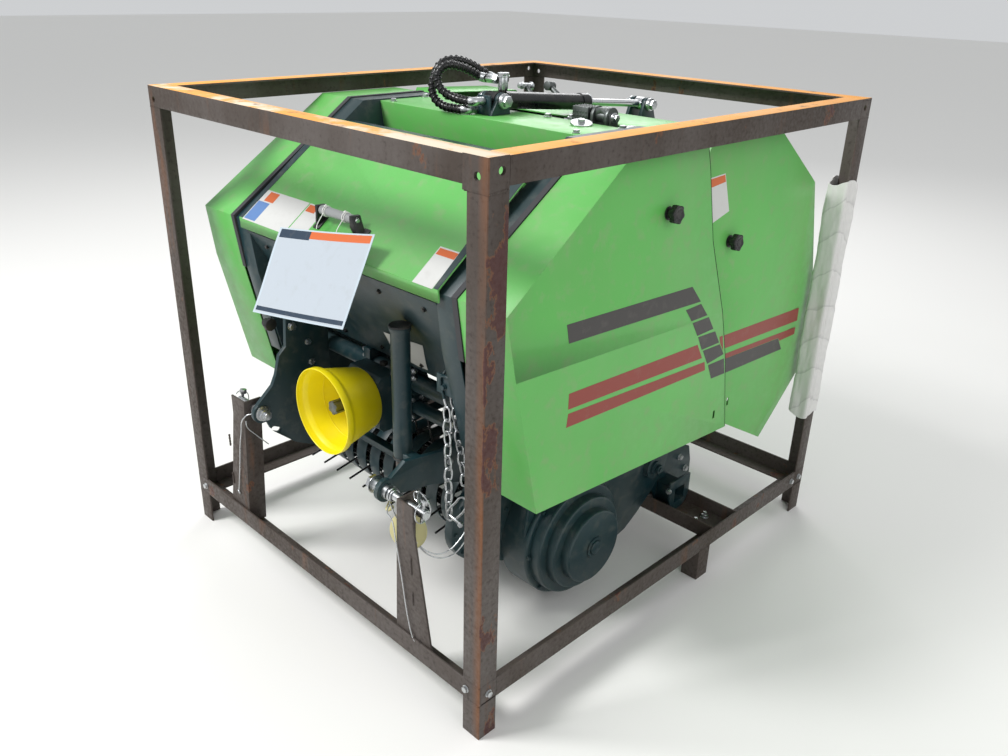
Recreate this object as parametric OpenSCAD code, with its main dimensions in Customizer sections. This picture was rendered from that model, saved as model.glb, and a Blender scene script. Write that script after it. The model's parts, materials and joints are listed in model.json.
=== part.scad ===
// Round baler in its steel transport crate. X runs across the machine, -Y is the hitch end, +Z is up.
// The origin is on the ground below the middle of the crate.

/* [Crate] */
// Outer width of the crate
crate_w = 1200; // [1180:1:1240]
// Outer length of the crate
crate_l = 1376; // [1360:1:1420]
// Height of the crate's top face
crate_h = 1235; // [1230:1:1260]
// Leg of the angle iron
angle_leg = 50; // [40:1:60]
// Thickness of the angle iron
angle_t = 5; // [4:0.5:6]
// Height of the top edge of the lower rails
rail_top = 142; // [130:1:160]

/* [Bale chamber] */
// Inner half width of the bale chamber
chamber_x = 355; // [340:1:360]
// Thickness of the chamber's side plates
plate_t = 6; // [5:0.5:8]
// Height of the bale's axis
bale_z = 700; // [690:1:710]
// Distance of the bale's axis behind the middle of the crate
bale_y = 30; // [20:1:40]
// Radius of the circle on which the chamber's rollers stand
roller_circle_r = 330; // [320:1:335]
// Radius of a chamber roller
roller_r = 42; // [38:1:45]
// Height of the tailgate's hinge
hinge_z = 1118; // [1110:1:1125]
// Distance of the tailgate's hinge behind the middle of the crate
hinge_y = 28; // [25:1:32]

/* [Covers] */
// Half width over the front side covers
cover_x = 567; // [560:1:575]
// Half width over the tailgate's side covers
gate_cover_x = 540; // [530:1:540]
// Thickness of the covers' sheet
sheet_t = 2; // [1.5:0.5:3]
// How far a cover's upper part leans inward, for each unit of height above its crease
cover_lean = 0.06; // [0:0.01:0.1]
// Height of the crease across a front cover
front_crease_z = 773; // [768:1:780]
// Height of the crease across a tailgate cover
gate_crease_z = 835; // [830:1:845]

/* [Hitch and drive] */
// Distance of the lower link pins from the middle, to the plate's middle
hitch_x = 256; // [250:1:265]
// Height of the lower link pins
hitch_z = 458; // [450:1:465]
// Distance of the lower link pins ahead of the middle
hitch_y = -655; // [-660:1:-650]
// Radius of the lower link pins
hitch_pin_r = 11; // [10:0.5:14]
// Height of the drive shaft
pto_z = 550; // [545:1:555]
// Radius of the drive shaft's splined end
pto_r = 17.5; // [15:0.5:20]
// Radius of the guard's mouth
guard_mouth_r = 107; // [100:1:112]
// Radius of the guard's back end
guard_back_r = 78; // [70:1:85]

/* [Pickup] */
// Height of the pickup's reel
reel_z = 290; // [286:1:294]
// Place of the pickup's reel, along the machine
reel_y = -325; // [-328:1:-322]
// Radius over the tips of the tines
tine_r = 168; // [160:1:170]
// Number of tines in each row
tine_count = 10; // [8:1:10]
// Distance from one tine to the next
tine_pitch = 58.6; // [56:0.1:58.6]
// Inner radius of the stripper bands
band_r = 100; // [98:1:102]
// Width of a stripper band
band_w = 40; // [36:1:42]
// Radius of the drive drum
drum_r = 165; // [160:1:166]
// Place of the drive drum, along the machine
drum_y = -178; // [-182:1:-174]
// Height of the drive drum
drum_z = 195; // [192:1:198]

/* [Cylinder] */
// Place of the front pivot, along the machine
ram_front_y = -90; // [-95:1:-85]
// Height of the front pivot
ram_front_z = 1221; // [1218:1:1224]
// Place of the rod's pivot, along the machine
ram_rear_y = 507; // [503:1:509]
// Height of the rod's pivot
ram_rear_z = 1170; // [1168:1:1172]
// Radius of the barrel
barrel_r = 21; // [19:0.5:23]
// Radius of the rod
rod_r = 10; // [9:0.5:11]

/* [Hidden] */
$fn = 48;

half_w = crate_w / 2;
half_l = crate_l / 2;
seat = 0.5; // gap left at the weld between two bars
plate_x = chamber_x + plate_t; // outer face of the chamber's side plates
flange_x = plate_x + 48; // outer edge of the flanges on the side plates
seal_w = 15; // width of the rubber seals between flanges and covers
base_z = rail_top - angle_leg; // underside of the lower rails

// Points of the machine's side outline, as [along, up]
NOSE = [-594, 932];
TOP_FRONT = [-222, 1192];
FRONT_CREASE = [-573, 796];
FRONT_FOOT = [-499, 474];
SEAM = [[30, 1192], [48, 1118], [78, 954], [143, 767], [183, 642], [230, 427]];
GATE_SEAM = [[95, 1190], [62, 1118], [92, 954], [157, 767], [197, 642], [244, 427]];
// The tailgate cover's rear edge, and the fold where its flat face ends
GATE_BACK = [[380, 1178], [592, 1018], [683, 712], [683, 450], [500, 285]];
GATE_FOLD = [[340, 1186], [505, 868], [568, 741], [530, 408], [440, 308]];

dark = "#12383a";
green = "#5fb85c";
steel = "#b9bcbe";
rust = "#5b4a40";
black = "#1b1d1f";
yellow = "#e8d800";

// Points of an arc in the side view: centre, radius, first and last angle, number of steps
function arc(c, r, a0, a1, n) =
    [for (i = [0 : n]) let (a = a0 + (a1 - a0) * i / n) c + r * [cos(a), sin(a)]];

// Outline of a belt laid round two circles, from their centres and radii
function belt(a, ra, b, rb, n = 16) =
    let (dir = atan2(b[1] - a[1], b[0] - a[0]), open = acos((ra - rb) / norm(b - a)))
    concat(arc(a, ra, dir + open, dir + 360 - open, n), arc(b, rb, dir - open, dir + open, n));

// A side-view outline [along, up] given a thickness across the machine, from x0 to x1
module slab(x0, x1) {
    translate([x0, 0, 0]) rotate([90, 0, 90]) linear_extrude(x1 - x0) children();
}

// A front-view outline [across, up] given a thickness along the machine, from y0 to y1
module bulkhead(y0, y1) {
    translate([0, y1, 0]) rotate([90, 0, 0]) linear_extrude(y1 - y0) children();
}

// A round bar across the machine, from x0 to x1, its axis at [along, up]
module cross_bar(x0, x1, at, r) {
    translate([x0, at[0], at[1]]) rotate([0, 90, 0]) cylinder(h = x1 - x0, r = r);
}

// The same solid on both sides of the machine
module both_sides() {
    children();
    mirror([1, 0, 0]) children();
}

// Bar of angle iron along +Z from the origin, its corner at the origin and its legs along +X and +Y
module angle_bar(length, leg = angle_leg, t = angle_t) {
    linear_extrude(length) polygon([[0, 0], [leg, 0], [leg, t], [t, t], [t, leg], [0, leg]]);
}

module crate_posts() {
    color(rust) for (sx = [0, 1], sy = [0, 1])
        mirror([sx, 0, 0]) mirror([0, sy, 0])
            translate([-half_w, -half_l, rail_top + seat])
                angle_bar(crate_h - angle_leg - rail_top - 2 * seat);
}

module crate_top_rails() {
    color(rust) {
        for (sy = [0, 1]) mirror([0, sy, 0])
            translate([-half_w, -half_l, crate_h]) rotate([0, 90, 0]) angle_bar(crate_w);
        for (sx = [0, 1]) mirror([sx, 0, 0])
            translate([-half_w, half_l - angle_leg - seat, crate_h]) rotate([90, 90, 0])
                angle_bar(crate_l - 2 * angle_leg - 2 * seat);
    }
}

module crate_base_rails() {
    color(rust) translate([0, 0, base_z]) {
        for (sy = [0, 1]) mirror([0, sy, 0])
            translate([half_w, -half_l, 0]) rotate([0, -90, 0]) angle_bar(crate_w);
        for (sx = [0, 1]) mirror([sx, 0, 0])
            translate([-half_w, -half_l + angle_leg + seat, 0]) rotate([-90, -90, 0])
                angle_bar(crate_l - 2 * angle_leg - 2 * seat);
    }
}

mid_foot_y = 132;
module crate_feet() {
    foot_h = base_z - seat;
    color(rust) {
        for (sx = [0, 1], sy = [0, 1]) mirror([sx, 0, 0]) mirror([0, sy, 0])
            translate([-half_w, -half_l, 0]) angle_bar(foot_h);
        for (sx = [0, 1]) mirror([sx, 0, 0]) translate([-half_w, mid_foot_y, 0]) angle_bar(foot_h);
    }
}

// Channel that carries the machine's rear legs, its open side up, between the lower side rails
channel_y = [190, 312];
channel_floor = base_z + angle_t + seat;
module crate_beams() {
    half = half_w - angle_t - seat;
    color(rust) slab(-half, half) difference() {
        polygon([[channel_y[0], channel_floor], [channel_y[1], channel_floor], [channel_y[1], rail_top],
            [channel_y[0], rail_top]]);
        translate([channel_y[0] + angle_t, channel_floor + angle_t])
            square([channel_y[1] - channel_y[0] - 2 * angle_t, angle_leg]);
    }
}

// Uprights under the lower link pins. Columns: inner edge at the top, outer edge at the top,
// inner edge at the foot, outer edge at the foot, tip of the tapered plate at the foot
UPRIGHTS = [[332, 385, 318, 376, 447], [-294, -357, -328, -385, -423]];
upright_top = 482;
upright_foot = base_z + angle_t + seat;
upright_y = -half_l + angle_t + seat;
module hitch_uprights() {
    color(rust) for (u = UPRIGHTS) {
        outward = sign(u[0]);
        bulkhead(upright_y, upright_y + angle_t)
            polygon([[u[0], upright_top], [u[1], upright_top], [u[1], 430], [u[4], upright_foot],
                [u[2], upright_foot]]);
        difference() {
            bulkhead(upright_y + angle_t, upright_y + angle_leg)
                polygon([[u[0], upright_top], [u[0] + angle_t * outward, upright_top],
                    [u[2] + angle_t * outward, upright_foot], [u[2], upright_foot]]);
            cross_bar(u[0] - 20, u[0] + 20, [hitch_y, hitch_z], hitch_pin_r + 0.05);
        }
    }
}

sleeve_t = 5;
module post_sleeve() {
    inner = angle_leg + 2 * seat;
    outer = angle_leg + 2 * sleeve_t;
    color("white") translate([half_w + sleeve_t, half_l + sleeve_t, 330]) rotate([0, 0, 180])
        linear_extrude(690) difference() {
            square(outer);
            translate([sleeve_t - seat, sleeve_t - seat]) square(inner);
        }
}

PLATE_NOSE = [-590, 929];
FRONT_PLATE = concat([PLATE_NOSE, TOP_FRONT], SEAM,
    [[150, 345], [-20, 350], [-60, 376], [-330, 400], [-440, 440], [-517, 560], FRONT_CREASE]);
FLANGE_LINE = [FRONT_FOOT + [-24, 88], FRONT_CREASE, PLATE_NOSE, TOP_FRONT, SEAM[0]];
flange_t = 4;
module side_plates() {
    color(dark) both_sides() {
        slab(chamber_x, plate_x) polygon(FRONT_PLATE);
        slab(plate_x, flange_x) polygon(concat(FLANGE_LINE, inset_line(FLANGE_LINE, flange_t)));
    }
}

// The same line moved inward by d, back to front: each point goes along the mean of its neighbours' normals
function inset_line(line, d) =
    let (last = len(line) - 1)
    [for (i = [last : -1 : 0])
        let (step = line[min(i + 1, last)] - line[max(i - 1, 0)])
        line[i] + d * [step[1], -step[0]] / norm(step)];

module front_wall() {
    color(dark) slab(-chamber_x, chamber_x)
        polygon([[-590, 905], [-586, 905], [-437, 643], [-380, 643], [-380, 640], [-440, 640]]);
}

// Round tube between the side plates, with the clamp boss that carries the gearbox
tube_at = [-420, 590];
module cross_tube() {
    color(dark) {
        difference() {
            cross_bar(-chamber_x + seat, chamber_x - seat, tube_at, 23);
            cross_bar(-chamber_x, chamber_x, tube_at, 18);
        }
        for (x = [-92, 66]) difference() {
            slab(x, x + 26) union() {
                translate(tube_at) circle(r = 33);
                translate(tube_at + [-26, 0]) square([52, 46]);
            }
            cross_bar(x - 1, x + 27, tube_at, 23.05);
        }
    }
}

module hitch_crossbar() {
    length = 2 * (hitch_x - 6 - seat);
    color(dark) translate([-length / 2, -490, 401]) cube([length, 24, 16]);
}

module top_plate() {
    color(green) slab(-chamber_x, chamber_x)
        polygon([[-168, 1188], [-10, 1188], [-10, 1160], [-14, 1160], [-14, 1184], [-164, 1184],
            [-140, 1040], [-144, 1040]]);
}

// Knuckles of the hood's hinge: the outer ones stay with the machine, the middle ones ride on the hood
hood_axis = [-325, 1150];
hinge_r = 6;
module hood_hinge() {
    color(dark) {
        for (x = [-350, -15, 320]) cross_bar(x, x + 30, hood_axis, hinge_r);
        slab(-chamber_x + seat, chamber_x - seat) polygon([[-311, 1145], [-258, 1145], [-258, 1085], [-262, 1085],
            [-262, 1141], [-311, 1141]]);
        for (x = [-350, -15, 320]) slab(x, x + 30) polygon([[-322, 1141], [-311, 1141], [-311, 1145], [-322, 1152]]);
    }
}

gate_pin_r = 12;
module gate_hinge_bosses() {
    color(dark) both_sides() difference() {
        cross_bar(plate_x + seat, plate_x + 11, [hinge_y, hinge_z], 22);
        cross_bar(plate_x, plate_x + 12, [hinge_y, hinge_z], gate_pin_r + 0.05);
    }
}

// Plates that carry the machine's rear end and stand in the crate's channel
LEG = [[110, 400], [228, 400], [262, 300], [376, 240], [390, 190], [392, 143], [303, 143], [303, 104], [225, 104],
    [221, 125], [201, 169], [130, 330]];
leg_x = plate_x + 13;
module rear_legs() {
    color(dark) both_sides() {
        slab(leg_x, leg_x + 6) polygon(LEG);
        slab(plate_x + seat, leg_x) polygon([[125, 350], [205, 350], [225, 394], [115, 394]]);
    }
}

// D-shaped blocks with the square sockets of the missing stub axles
socket_at = [255, 152];
socket_half = 23;
module axle_sockets() {
    color(dark) both_sides() {
        slab(432, 440) difference() {
            polygon(concat([[207, 203], [207, 152]], arc(socket_at, 48, 180, 360, 16), [[303, 203]]));
            translate(socket_at) square(2 * socket_half, center = true);
        }
        slab(leg_x + 6 + seat, 432) translate(socket_at) difference() {
            square(2 * socket_half + 12, center = true);
            square(2 * socket_half, center = true);
        }
    }
}

drive_at = [-414, 518]; // axis of the cross shaft
gear_hub_x = 78;
module gearbox() {
    color(dark) difference() {
        union() {
            slab(-62, 62) polygon([[-519, 486], [-507, 474], [-392, 474], [-380, 486], [-380, 550], [-392, 562],
                [-447, 562], [-447, 606], [-459, 618], [-507, 618], [-519, 606]]);
            cross_bar(-gear_hub_x, gear_hub_x, drive_at, 34);
        }
        translate([0, -520, pto_z]) rotate([-90, 0, 0]) cylinder(h = 71, r = pto_r + 2.05);
    }
}

module pto_guard() {
    wall = 3;
    lip = 14;
    step = 8;
    depth = 120;
    color(yellow) translate([0, -640, pto_z]) rotate([-90, 0, 0]) rotate_extrude($fn = 96)
        polygon([[guard_mouth_r - wall, 0], [guard_mouth_r, 0], [guard_mouth_r, lip],
            [guard_mouth_r - step, lip + 12],
            [guard_back_r, depth - 4], [guard_back_r, depth], [30, depth], [30, depth - wall],
            [guard_back_r - wall, depth - wall], [guard_mouth_r - step - wall, lip + 12],
            [guard_mouth_r - wall, lip]]);
}

module pto_shaft() {
    color(black) translate([0, -610, pto_z]) rotate([-90, 0, 0]) {
        cylinder(h = 90, r = pto_r);
        translate([0, 0, 90]) cylinder(h = 70, r = pto_r + 2);
    }
}

// Drive shaft's tube from the gearbox to the chains behind the left side plate
drive_tube_r = 17;
module drive_tube() {
    color(dark) difference() {
        cross_bar(gear_hub_x + seat, chamber_x - seat, drive_at, drive_tube_r);
        cross_bar(gear_hub_x, chamber_x, drive_at, drive_tube_r - 4);
    }
}

module pin_lobe() {
    translate([hitch_y, hitch_z]) circle(r = 27);
}
module hitch_plate_right() {
    color(dark) slab(-hitch_x - 6, -hitch_x + 6) difference() {
        union() {
            polygon([[-568, 694], [-573, 621], [-594, 602], [-608, 551], [-621, 525], [-668, 484], [-645, 432],
                [-632, 400], [-566, 343], [-498, 309], [-460, 416], [-444, 450], [-444, 641], [-475, 694]]);
            pin_lobe();
        }
        translate([hitch_y, hitch_z]) circle(r = hitch_pin_r + 0.05);
        polygon(belt([-628, 404], 7, [-612, 396], 7, 8));
    }
}
module hitch_plate_left() {
    color(dark) slab(hitch_x - 6, hitch_x + 6) difference() {
        union() {
            polygon([[-641, 484], [-600, 510], [-488, 496], [-455, 510], [-438, 566.5], [-405, 566.5], [-402, 470],
                [-421, 388], [-522, 421], [-633, 438]]);
            pin_lobe();
        }
        translate([hitch_y, hitch_z]) circle(r = hitch_pin_r + 0.05);
        translate(drive_at) circle(r = drive_tube_r + 0.5);
    }
}

// Lower link pins with their collars. Columns: inner end, outer end
LINK_PINS = [[232, 398], [-362, -226]];
module hitch_pins() {
    color(steel) for (p = LINK_PINS) {
        collar = sign(p[0]) * (hitch_x + 6) + (p[0] > 0 ? seat : -seat - 14);
        cross_bar(p[0], p[1], [hitch_y, hitch_z], hitch_pin_r);
        cross_bar(collar, collar + 14, [hitch_y, hitch_z], hitch_pin_r + 6);
    }
}

stand_at = [203, -560];
stand_r = 22;
module stand_tube() {
    color(dark) difference() {
        union() {
            translate([stand_at[0], stand_at[1], 480]) cylinder(h = 316, r = stand_r);
            translate([stand_at[0], stand_at[1], 796]) cylinder(h = 9, r = stand_r + 3);
            translate([stand_at[0], stand_at[1] - 14, 484]) cube([hitch_x - 6 - seat - stand_at[0], 28, 18]);
        }
        translate([stand_at[0], stand_at[1], 479]) cylinder(h = 310, r = 17.5);
    }
}

module stand_leg() {
    color(rust) difference() {
        translate([stand_at[0], stand_at[1], 432]) cylinder(h = 340, r = 17);
        translate([stand_at[0], stand_at[1], 431]) cylinder(h = 342, r = 13);
    }
}

// Four tine bars round the reel's shaft, with a row of spring tines on each
reel_at = [reel_y, reel_z];
reel_x = [-330, 262];
tine_x = -296;
tine_bar_r = 78;
first_row = 192;
module pickup_reel() {
    rows = [for (i = [0 : 3]) first_row + 90 * i];
    color(black) {
        cross_bar(reel_x[0], reel_x[1] + 22, reel_at, 16);
        for (a = rows) cross_bar(reel_x[0] + 6, reel_x[1] - 6, reel_at + tine_bar_r * [cos(a), sin(a)], 9);
        for (x = [-318, -42, 250]) difference() {
            slab(x, x + 5) translate(reel_at) circle(r = tine_bar_r + 14);
            for (a = rows) cross_bar(x - 1, x + 6, reel_at + (tine_bar_r - 24) * [cos(a + 45), sin(a + 45)], 20);
        }
        for (k = [0 : tine_count - 1], a = rows)
            translate([tine_x + k * tine_pitch, reel_y, reel_z]) rotate([a - 90, 0, 0])
                translate([0, 0, tine_bar_r + 8]) cylinder(h = tine_r - tine_bar_r - 8, r = 2.8, $fn = 8);
    }
}

// Stripper bands between the tines: round the reel's front, with both ends run back to the cross angles
module pickup_bands() {
    t = 3;
    back = 158;
    round = arc(reel_at, band_r + t, 90, 270, 20);
    inner = arc(reel_at, band_r, 270, 90, 20);
    top = [reel_y + back, reel_z + band_r];
    foot = [reel_y + back, reel_z - band_r];
    color(dark) for (k = [0 : tine_count])
        slab(tine_x + (k - 0.5) * tine_pitch - band_w / 2, tine_x + (k - 0.5) * tine_pitch + band_w / 2)
            polygon(concat([top + [0, t]], round, [foot - [0, t], foot], inner, [top]));
}

// Cross angles behind the bands, the end plate on the right and the drive case on the left
case_x = 315; // outer face of the drive case
module pickup_frame() {
    high = reel_z + band_r + 3 + seat;
    low = reel_z - band_r - 3 - seat;
    color(dark) {
        for (z = [[high, high + 4], [low, low - 4]]) slab(-350, 289)
            polygon([[-184, z[0]], [-150, z[0]], [-150, z[1] + 30 * sign(z[1] - z[0])],
                [-154, z[1] + 30 * sign(z[1] - z[0])], [-154, z[1]], [-184, z[1]]]);
        slab(-354.5, -350.5) polygon(concat(arc(reel_at, 95, 60, 300, 24), [[-150, low - 34], [-150, high + 34]]));
        slab(290, case_x) polygon(belt([-414, reel_z + 5], 97, [drum_y, drum_z], 120));
    }
}

// Pressed cover over the drive drum. Columns: outer radius, face of the step across the machine
drum_face_x = 480;
DRUM_STEPS = [[drum_r, 400], [150, 430], [125, 455], [98, drum_face_x]];
drum_hub_r = 28;
drum_round = 5;
module pickup_covers() {
    last = len(DRUM_STEPS) - 1;
    profile = [for (i = [0 : last])
        let (r = DRUM_STEPS[i][0], x = DRUM_STEPS[i][1], next_r = i < last ? DRUM_STEPS[i + 1][0] : drum_hub_r)
        each [[r, x - drum_round], [r - drum_round * 0.3, x - drum_round * 0.3], [r - drum_round, x], [next_r, x]]];
    color(dark) translate([0, drum_y, drum_z]) rotate([0, 90, 0]) rotate_extrude($fn = 96)
        polygon(concat([[0, case_x + seat], [drum_r, case_x + seat]], profile,
            [[drum_hub_r, drum_face_x + 4], [drum_hub_r - 8, drum_face_x + 4], [drum_hub_r - 8, drum_face_x],
                [0, drum_face_x]]));
}

// Plate that carries the drum from the machine's left side, with the bearing of its pivot
ARM = [[-335, 250], [-320, 424], [150, 424], [240, 380], [262, 310], [256, 262], [243, 226], [194, 172], [126, 120],
    [75, 89], [-95, 50], [-178, 60]];
bearing_at = [169, 257];
module pickup_arm() {
    color(dark) {
        slab(leg_x + 7, leg_x + 14) difference() {
            polygon(ARM);
            translate([drum_y, drum_z]) circle(r = drum_r + 1);
        }
        cross_bar(leg_x + 14, leg_x + 30, bearing_at, 32);
        cross_bar(leg_x + 30, leg_x + 38, bearing_at, 20);
    }
}

FRONT_ROLLERS = [110, 140, 170, 200];
module rollers(angles, end_gap) {
    half = chamber_x - end_gap;
    for (a = angles)
        cross_bar(-half, half, [bale_y, bale_z] + roller_circle_r * [cos(a), sin(a)], roller_r);
}
module front_rollers() {
    color(steel) rollers(FRONT_ROLLERS, 2);
}

// Everything on the machine's side of a cover's face, which leans inward above its crease
module lean_block(face_x, crease_z, tilt) {
    top_z = crate_h + 100;
    translate([0, 0, crease_z]) rotate([tilt, 0, 0]) bulkhead(-crate_l, crate_l)
        polygon([[0, -crate_h], [face_x, -crate_h], [face_x, 0],
            [face_x - cover_lean * (top_z - crease_z), top_z - crease_z], [0, top_z - crease_z]]);
}

// Boxed front cover: flat outboard face, closed along its outline, open towards the chamber
front_crease_tilt = -2.3;
FRONT_OUTLINE = concat([FRONT_FOOT, FRONT_CREASE, NOSE, TOP_FRONT], SEAM);
module side_cover() {
    color(green) difference() {
        intersection() {
            slab(flange_x + seal_w + 1, cover_x) polygon(FRONT_OUTLINE);
            lean_block(cover_x, front_crease_z, front_crease_tilt);
        }
        intersection() {
            slab(flange_x, cover_x) offset(delta = -sheet_t) polygon(FRONT_OUTLINE);
            lean_block(cover_x - sheet_t, front_crease_z, front_crease_tilt);
        }
    }
}
module side_cover_left() side_cover();
module side_cover_right() mirror([1, 0, 0]) side_cover();

module cover_seals() {
    line = [FRONT_CREASE, NOSE, TOP_FRONT, SEAM[0]];
    color(black) both_sides() slab(flange_x + 0.5, flange_x + seal_w)
        polygon(concat(inset_line(line, -3), [for (i = [3 : -1 : 0]) inset_line(line, 9)[i]]));
}

// Star knob that holds a cover: collar, then the lobed grip
knob_lobes = 6;
module knob() {
    rotate([0, 90, 0]) {
        cylinder(h = 12, r = 10);
        translate([0, 0, 12]) linear_extrude(16) difference() {
            circle(r = 18);
            for (i = [0 : knob_lobes - 1]) rotate(360 * i / knob_lobes) translate([20, 0]) circle(r = 5);
        }
    }
}
knob_lean = atan(cover_lean);
module cover_knobs() {
    color(black) both_sides() translate([552, -96, 1047]) rotate([0, -knob_lean, 0]) knob();
}

hood_half = 374;
hood_reach = [-600, 938]; // lower front corner of the hood's upper face
module hood() {
    slope = atan2(hood_axis[1] - hood_reach[1], hood_axis[0] - hood_reach[0]);
    length = norm(hood_axis - hood_reach) - 8;
    color(green) {
        slab(-hood_half, hood_half) translate(hood_reach) rotate(slope)
            polygon([[0, 0], [length, 0], [length, -3], [3, -3], [-12, -24], [-15, -22]]);
        for (x = [-319, 16]) {
            cross_bar(x, x + 303, hood_axis, hinge_r);
            slab(x, x + 303) translate(hood_reach) rotate(slope)
                polygon([[length, -3], [length, 0], [length + 8, 2], [length + 8, -3]]);
        }
    }
}

// Grip tube on two straps that stand on the hood's lower edge
module hood_handle() {
    color(black) {
        cross_bar(-72.5, 42, [-556, 1006], 11);
        for (x = [-90, 41.5]) slab(x, x + 18)
            polygon([[-570, 962], [-540, 985], [-545, 1006], [-556, 1018], [-567, 1006]]);
    }
}

// Blank laminated card tied to the handle; it leans over the hood's lower edge
tag_at = [-5, -640, 886];
tag_lean = [-27, -7.2, 0];
module hang_tag() {
    color("white") translate(tag_at) rotate(tag_lean) cube([330, 1.5, 196], center = true);
}

GATE_PLATE = concat([[95, 1176], [345, 1166], [548, 1122], [594, 1010], [660, 713], [660, 476], [500, 322],
    [300, 340], [244, 427]], [for (i = [4 : -1 : 1]) GATE_SEAM[i]]);
module gate_plates() {
    color(dark) both_sides() slab(chamber_x, plate_x) polygon(GATE_PLATE);
}

// Arms outside the side plates, with the pins that turn in the bosses
module gate_hinge_arms() {
    arm_x = plate_x + 11 + seat;
    color(dark) both_sides() {
        slab(arm_x, arm_x + 6) union() {
            polygon([[20, 1098], [28, 1140], [120, 1150], [150, 1100], [150, 1040], [110, 1040]]);
            translate([hinge_y, hinge_z]) circle(r = 22);
        }
        cross_bar(plate_x + seat, arm_x, [hinge_y, hinge_z], gate_pin_r);
        slab(plate_x + seat, arm_x) polygon([[95, 1060], [95, 1140], [140, 1110], [140, 1060]]);
    }
}

// Bent sheet that closes the tailgate between its side plates: outer line, then the inner one
SHELL = [[160, 1165], [345, 1161], [545, 1117], [589, 1008], [655, 712], [655, 478], [500, 330]];
module gate_shell() {
    color(green) slab(-chamber_x + seat, chamber_x - seat)
        polygon(concat(SHELL, inset_line(SHELL, 4)));
}
GATE_ROLLERS = [60, 30, 0, -30, -55];
module gate_rollers() {
    color(steel) rollers(GATE_ROLLERS, 5.5);
}

// Boxed tailgate cover: its flat face ends at a fold, behind which the sheet leans inward
gate_crease_tilt = 2.9;
fold_drop = 10;
GATE_OUTLINE = concat([for (i = [5 : -1 : 0]) GATE_SEAM[i]], GATE_BACK);
GATE_FACE = concat([for (i = [5 : -1 : 0]) GATE_SEAM[i]], GATE_FOLD);
module gate_form(face_x, inset) {
    intersection() {
        lean_block(face_x, gate_crease_z, gate_crease_tilt);
        hull() {
            slab(360, face_x - fold_drop) offset(delta = -inset) polygon(GATE_OUTLINE);
            slab(face_x - 1, face_x) offset(delta = -inset) polygon(GATE_FACE);
        }
        slab(360, face_x) offset(delta = -inset) polygon(GATE_OUTLINE);
    }
}
gate_cover_inner = plate_x + 24;
module gate_cover() {
    color(green) difference() {
        gate_form(gate_cover_x, 0);
        gate_form(gate_cover_x - sheet_t, sheet_t);
        translate([0, -half_l, 0]) cube([gate_cover_inner, crate_l, crate_h]);
    }
}
module gate_cover_left() gate_cover();
module gate_cover_right() mirror([1, 0, 0]) gate_cover();
module gate_knobs() {
    color(black) both_sides() translate([536, 193, 931]) rotate([0, -knob_lean, 0]) knob();
}

ram_rear = [ram_rear_y, ram_rear_z];
ram_front = [ram_front_y, ram_front_z];
ram_pin_r = 10;
ear_t = 10;
open_pivot = 2; // the linkage is opened at the rod's eye, so its pin has this much room
module rod_bracket() {
    color(dark) {
        both_sides() slab(18, 18 + ear_t) union() {
            polygon([[474, 1138], [546, 1122], [525, 1176], [489, 1176]]);
            translate(ram_rear) circle(r = 19);
        }
        cross_bar(-36, 36, ram_rear, ram_pin_r - open_pivot);
        cross_bar(27, 35, ram_rear, 16);
    }
}

module cylinder_clevis() {
    color(dark) {
        both_sides() slab(20, 20 + ear_t) union() {
            polygon([[-128, 1188.5], [-62, 1188.5], [-71, 1221], [-109, 1221]]);
            translate(ram_front) circle(r = 19);
        }
        cross_bar(-38, 38, ram_front, ram_pin_r);
        cross_bar(29, 37, ram_front, 17);
        slab(-21, 21) polygon([[-128, 1188.5], [-120, 1188.5], [-120, 1234], [-126, 1234]]);
    }
}

ram_length = norm(ram_rear - ram_front);
ram_tilt = atan2(ram_rear[1] - ram_front[1], ram_rear[0] - ram_front[0]);
barrel_end = 352;
barrel_port = [-66, 1266];
side_port = [-24, 1262];
pipe_x = -25;
module along_ram() {
    translate([0, ram_front[0], ram_front[1]]) rotate([ram_tilt - 90, 0, 0]) children();
}
module cylinder_barrel() {
    color(black) {
        along_ram() difference() {
            union() {
                cylinder(h = 40, r = 15);
                translate([0, 0, 34]) cylinder(h = barrel_end - 34, r = barrel_r);
                translate([0, 0, barrel_end - 34]) cylinder(h = 30, r = barrel_r + 2);
                rotate([0, 90, 0]) cylinder(h = 36, r = 20, center = true);
                translate([pipe_x, 0, 36]) cylinder(h = 270, r = 5);
            }
            translate([0, 0, 42]) cylinder(h = barrel_end, r = rod_r + 0.05);
            rotate([0, 90, 0]) cylinder(h = 50, r = ram_pin_r + 0.05, center = true);
        }
        translate([0, barrel_port[0], 1234]) cylinder(h = 40, r = 8);
        cross_bar(-50, 0, barrel_port, 10);
        translate([pipe_x - 4, side_port[0], 1214]) cylinder(h = 56, r = 6);
        cross_bar(-62, pipe_x, side_port, 9);
    }
}
module cylinder_rod() {
    color(steel) along_ram() difference() {
        union() {
            translate([0, 0, 190]) cylinder(h = ram_length - 201, r = rod_r);
            translate([0, 0, ram_length]) rotate([0, 90, 0]) cylinder(h = 26, r = 18, center = true);
        }
        translate([0, 0, ram_length]) rotate([0, 90, 0]) cylinder(h = 50, r = ram_pin_r + 0.05, center = true);
    }
}

// Knotter drive on top: perforated block, fork with its twine wheel and the plate that carries them
module twine_drive() {
    color(steel) {
        slab(112, 276) polygon([[-9.5, 1160], [92, 1160], [92, 1164], [-9.5, 1164]]);
        slab(158, 206) difference() {
            translate([22, 1164.5]) square([46, 52]);
            for (y = [34, 56], z = [1180, 1202]) translate([y, z]) circle(r = 5);
        }
        for (x = [214, 256]) slab(x, x + 8) union() {
            translate([22, 1164.5]) square([46, 34]);
            translate([45, 1198]) circle(r = 23);
        }
        cross_bar(222.5, 255.5, [45, 1198], 15);
        cross_bar(206.5, 213.5, [45, 1198], 8);
        translate([134, 45, 1164.5]) cylinder(h = 12, r = 19);
    }
}

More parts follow.
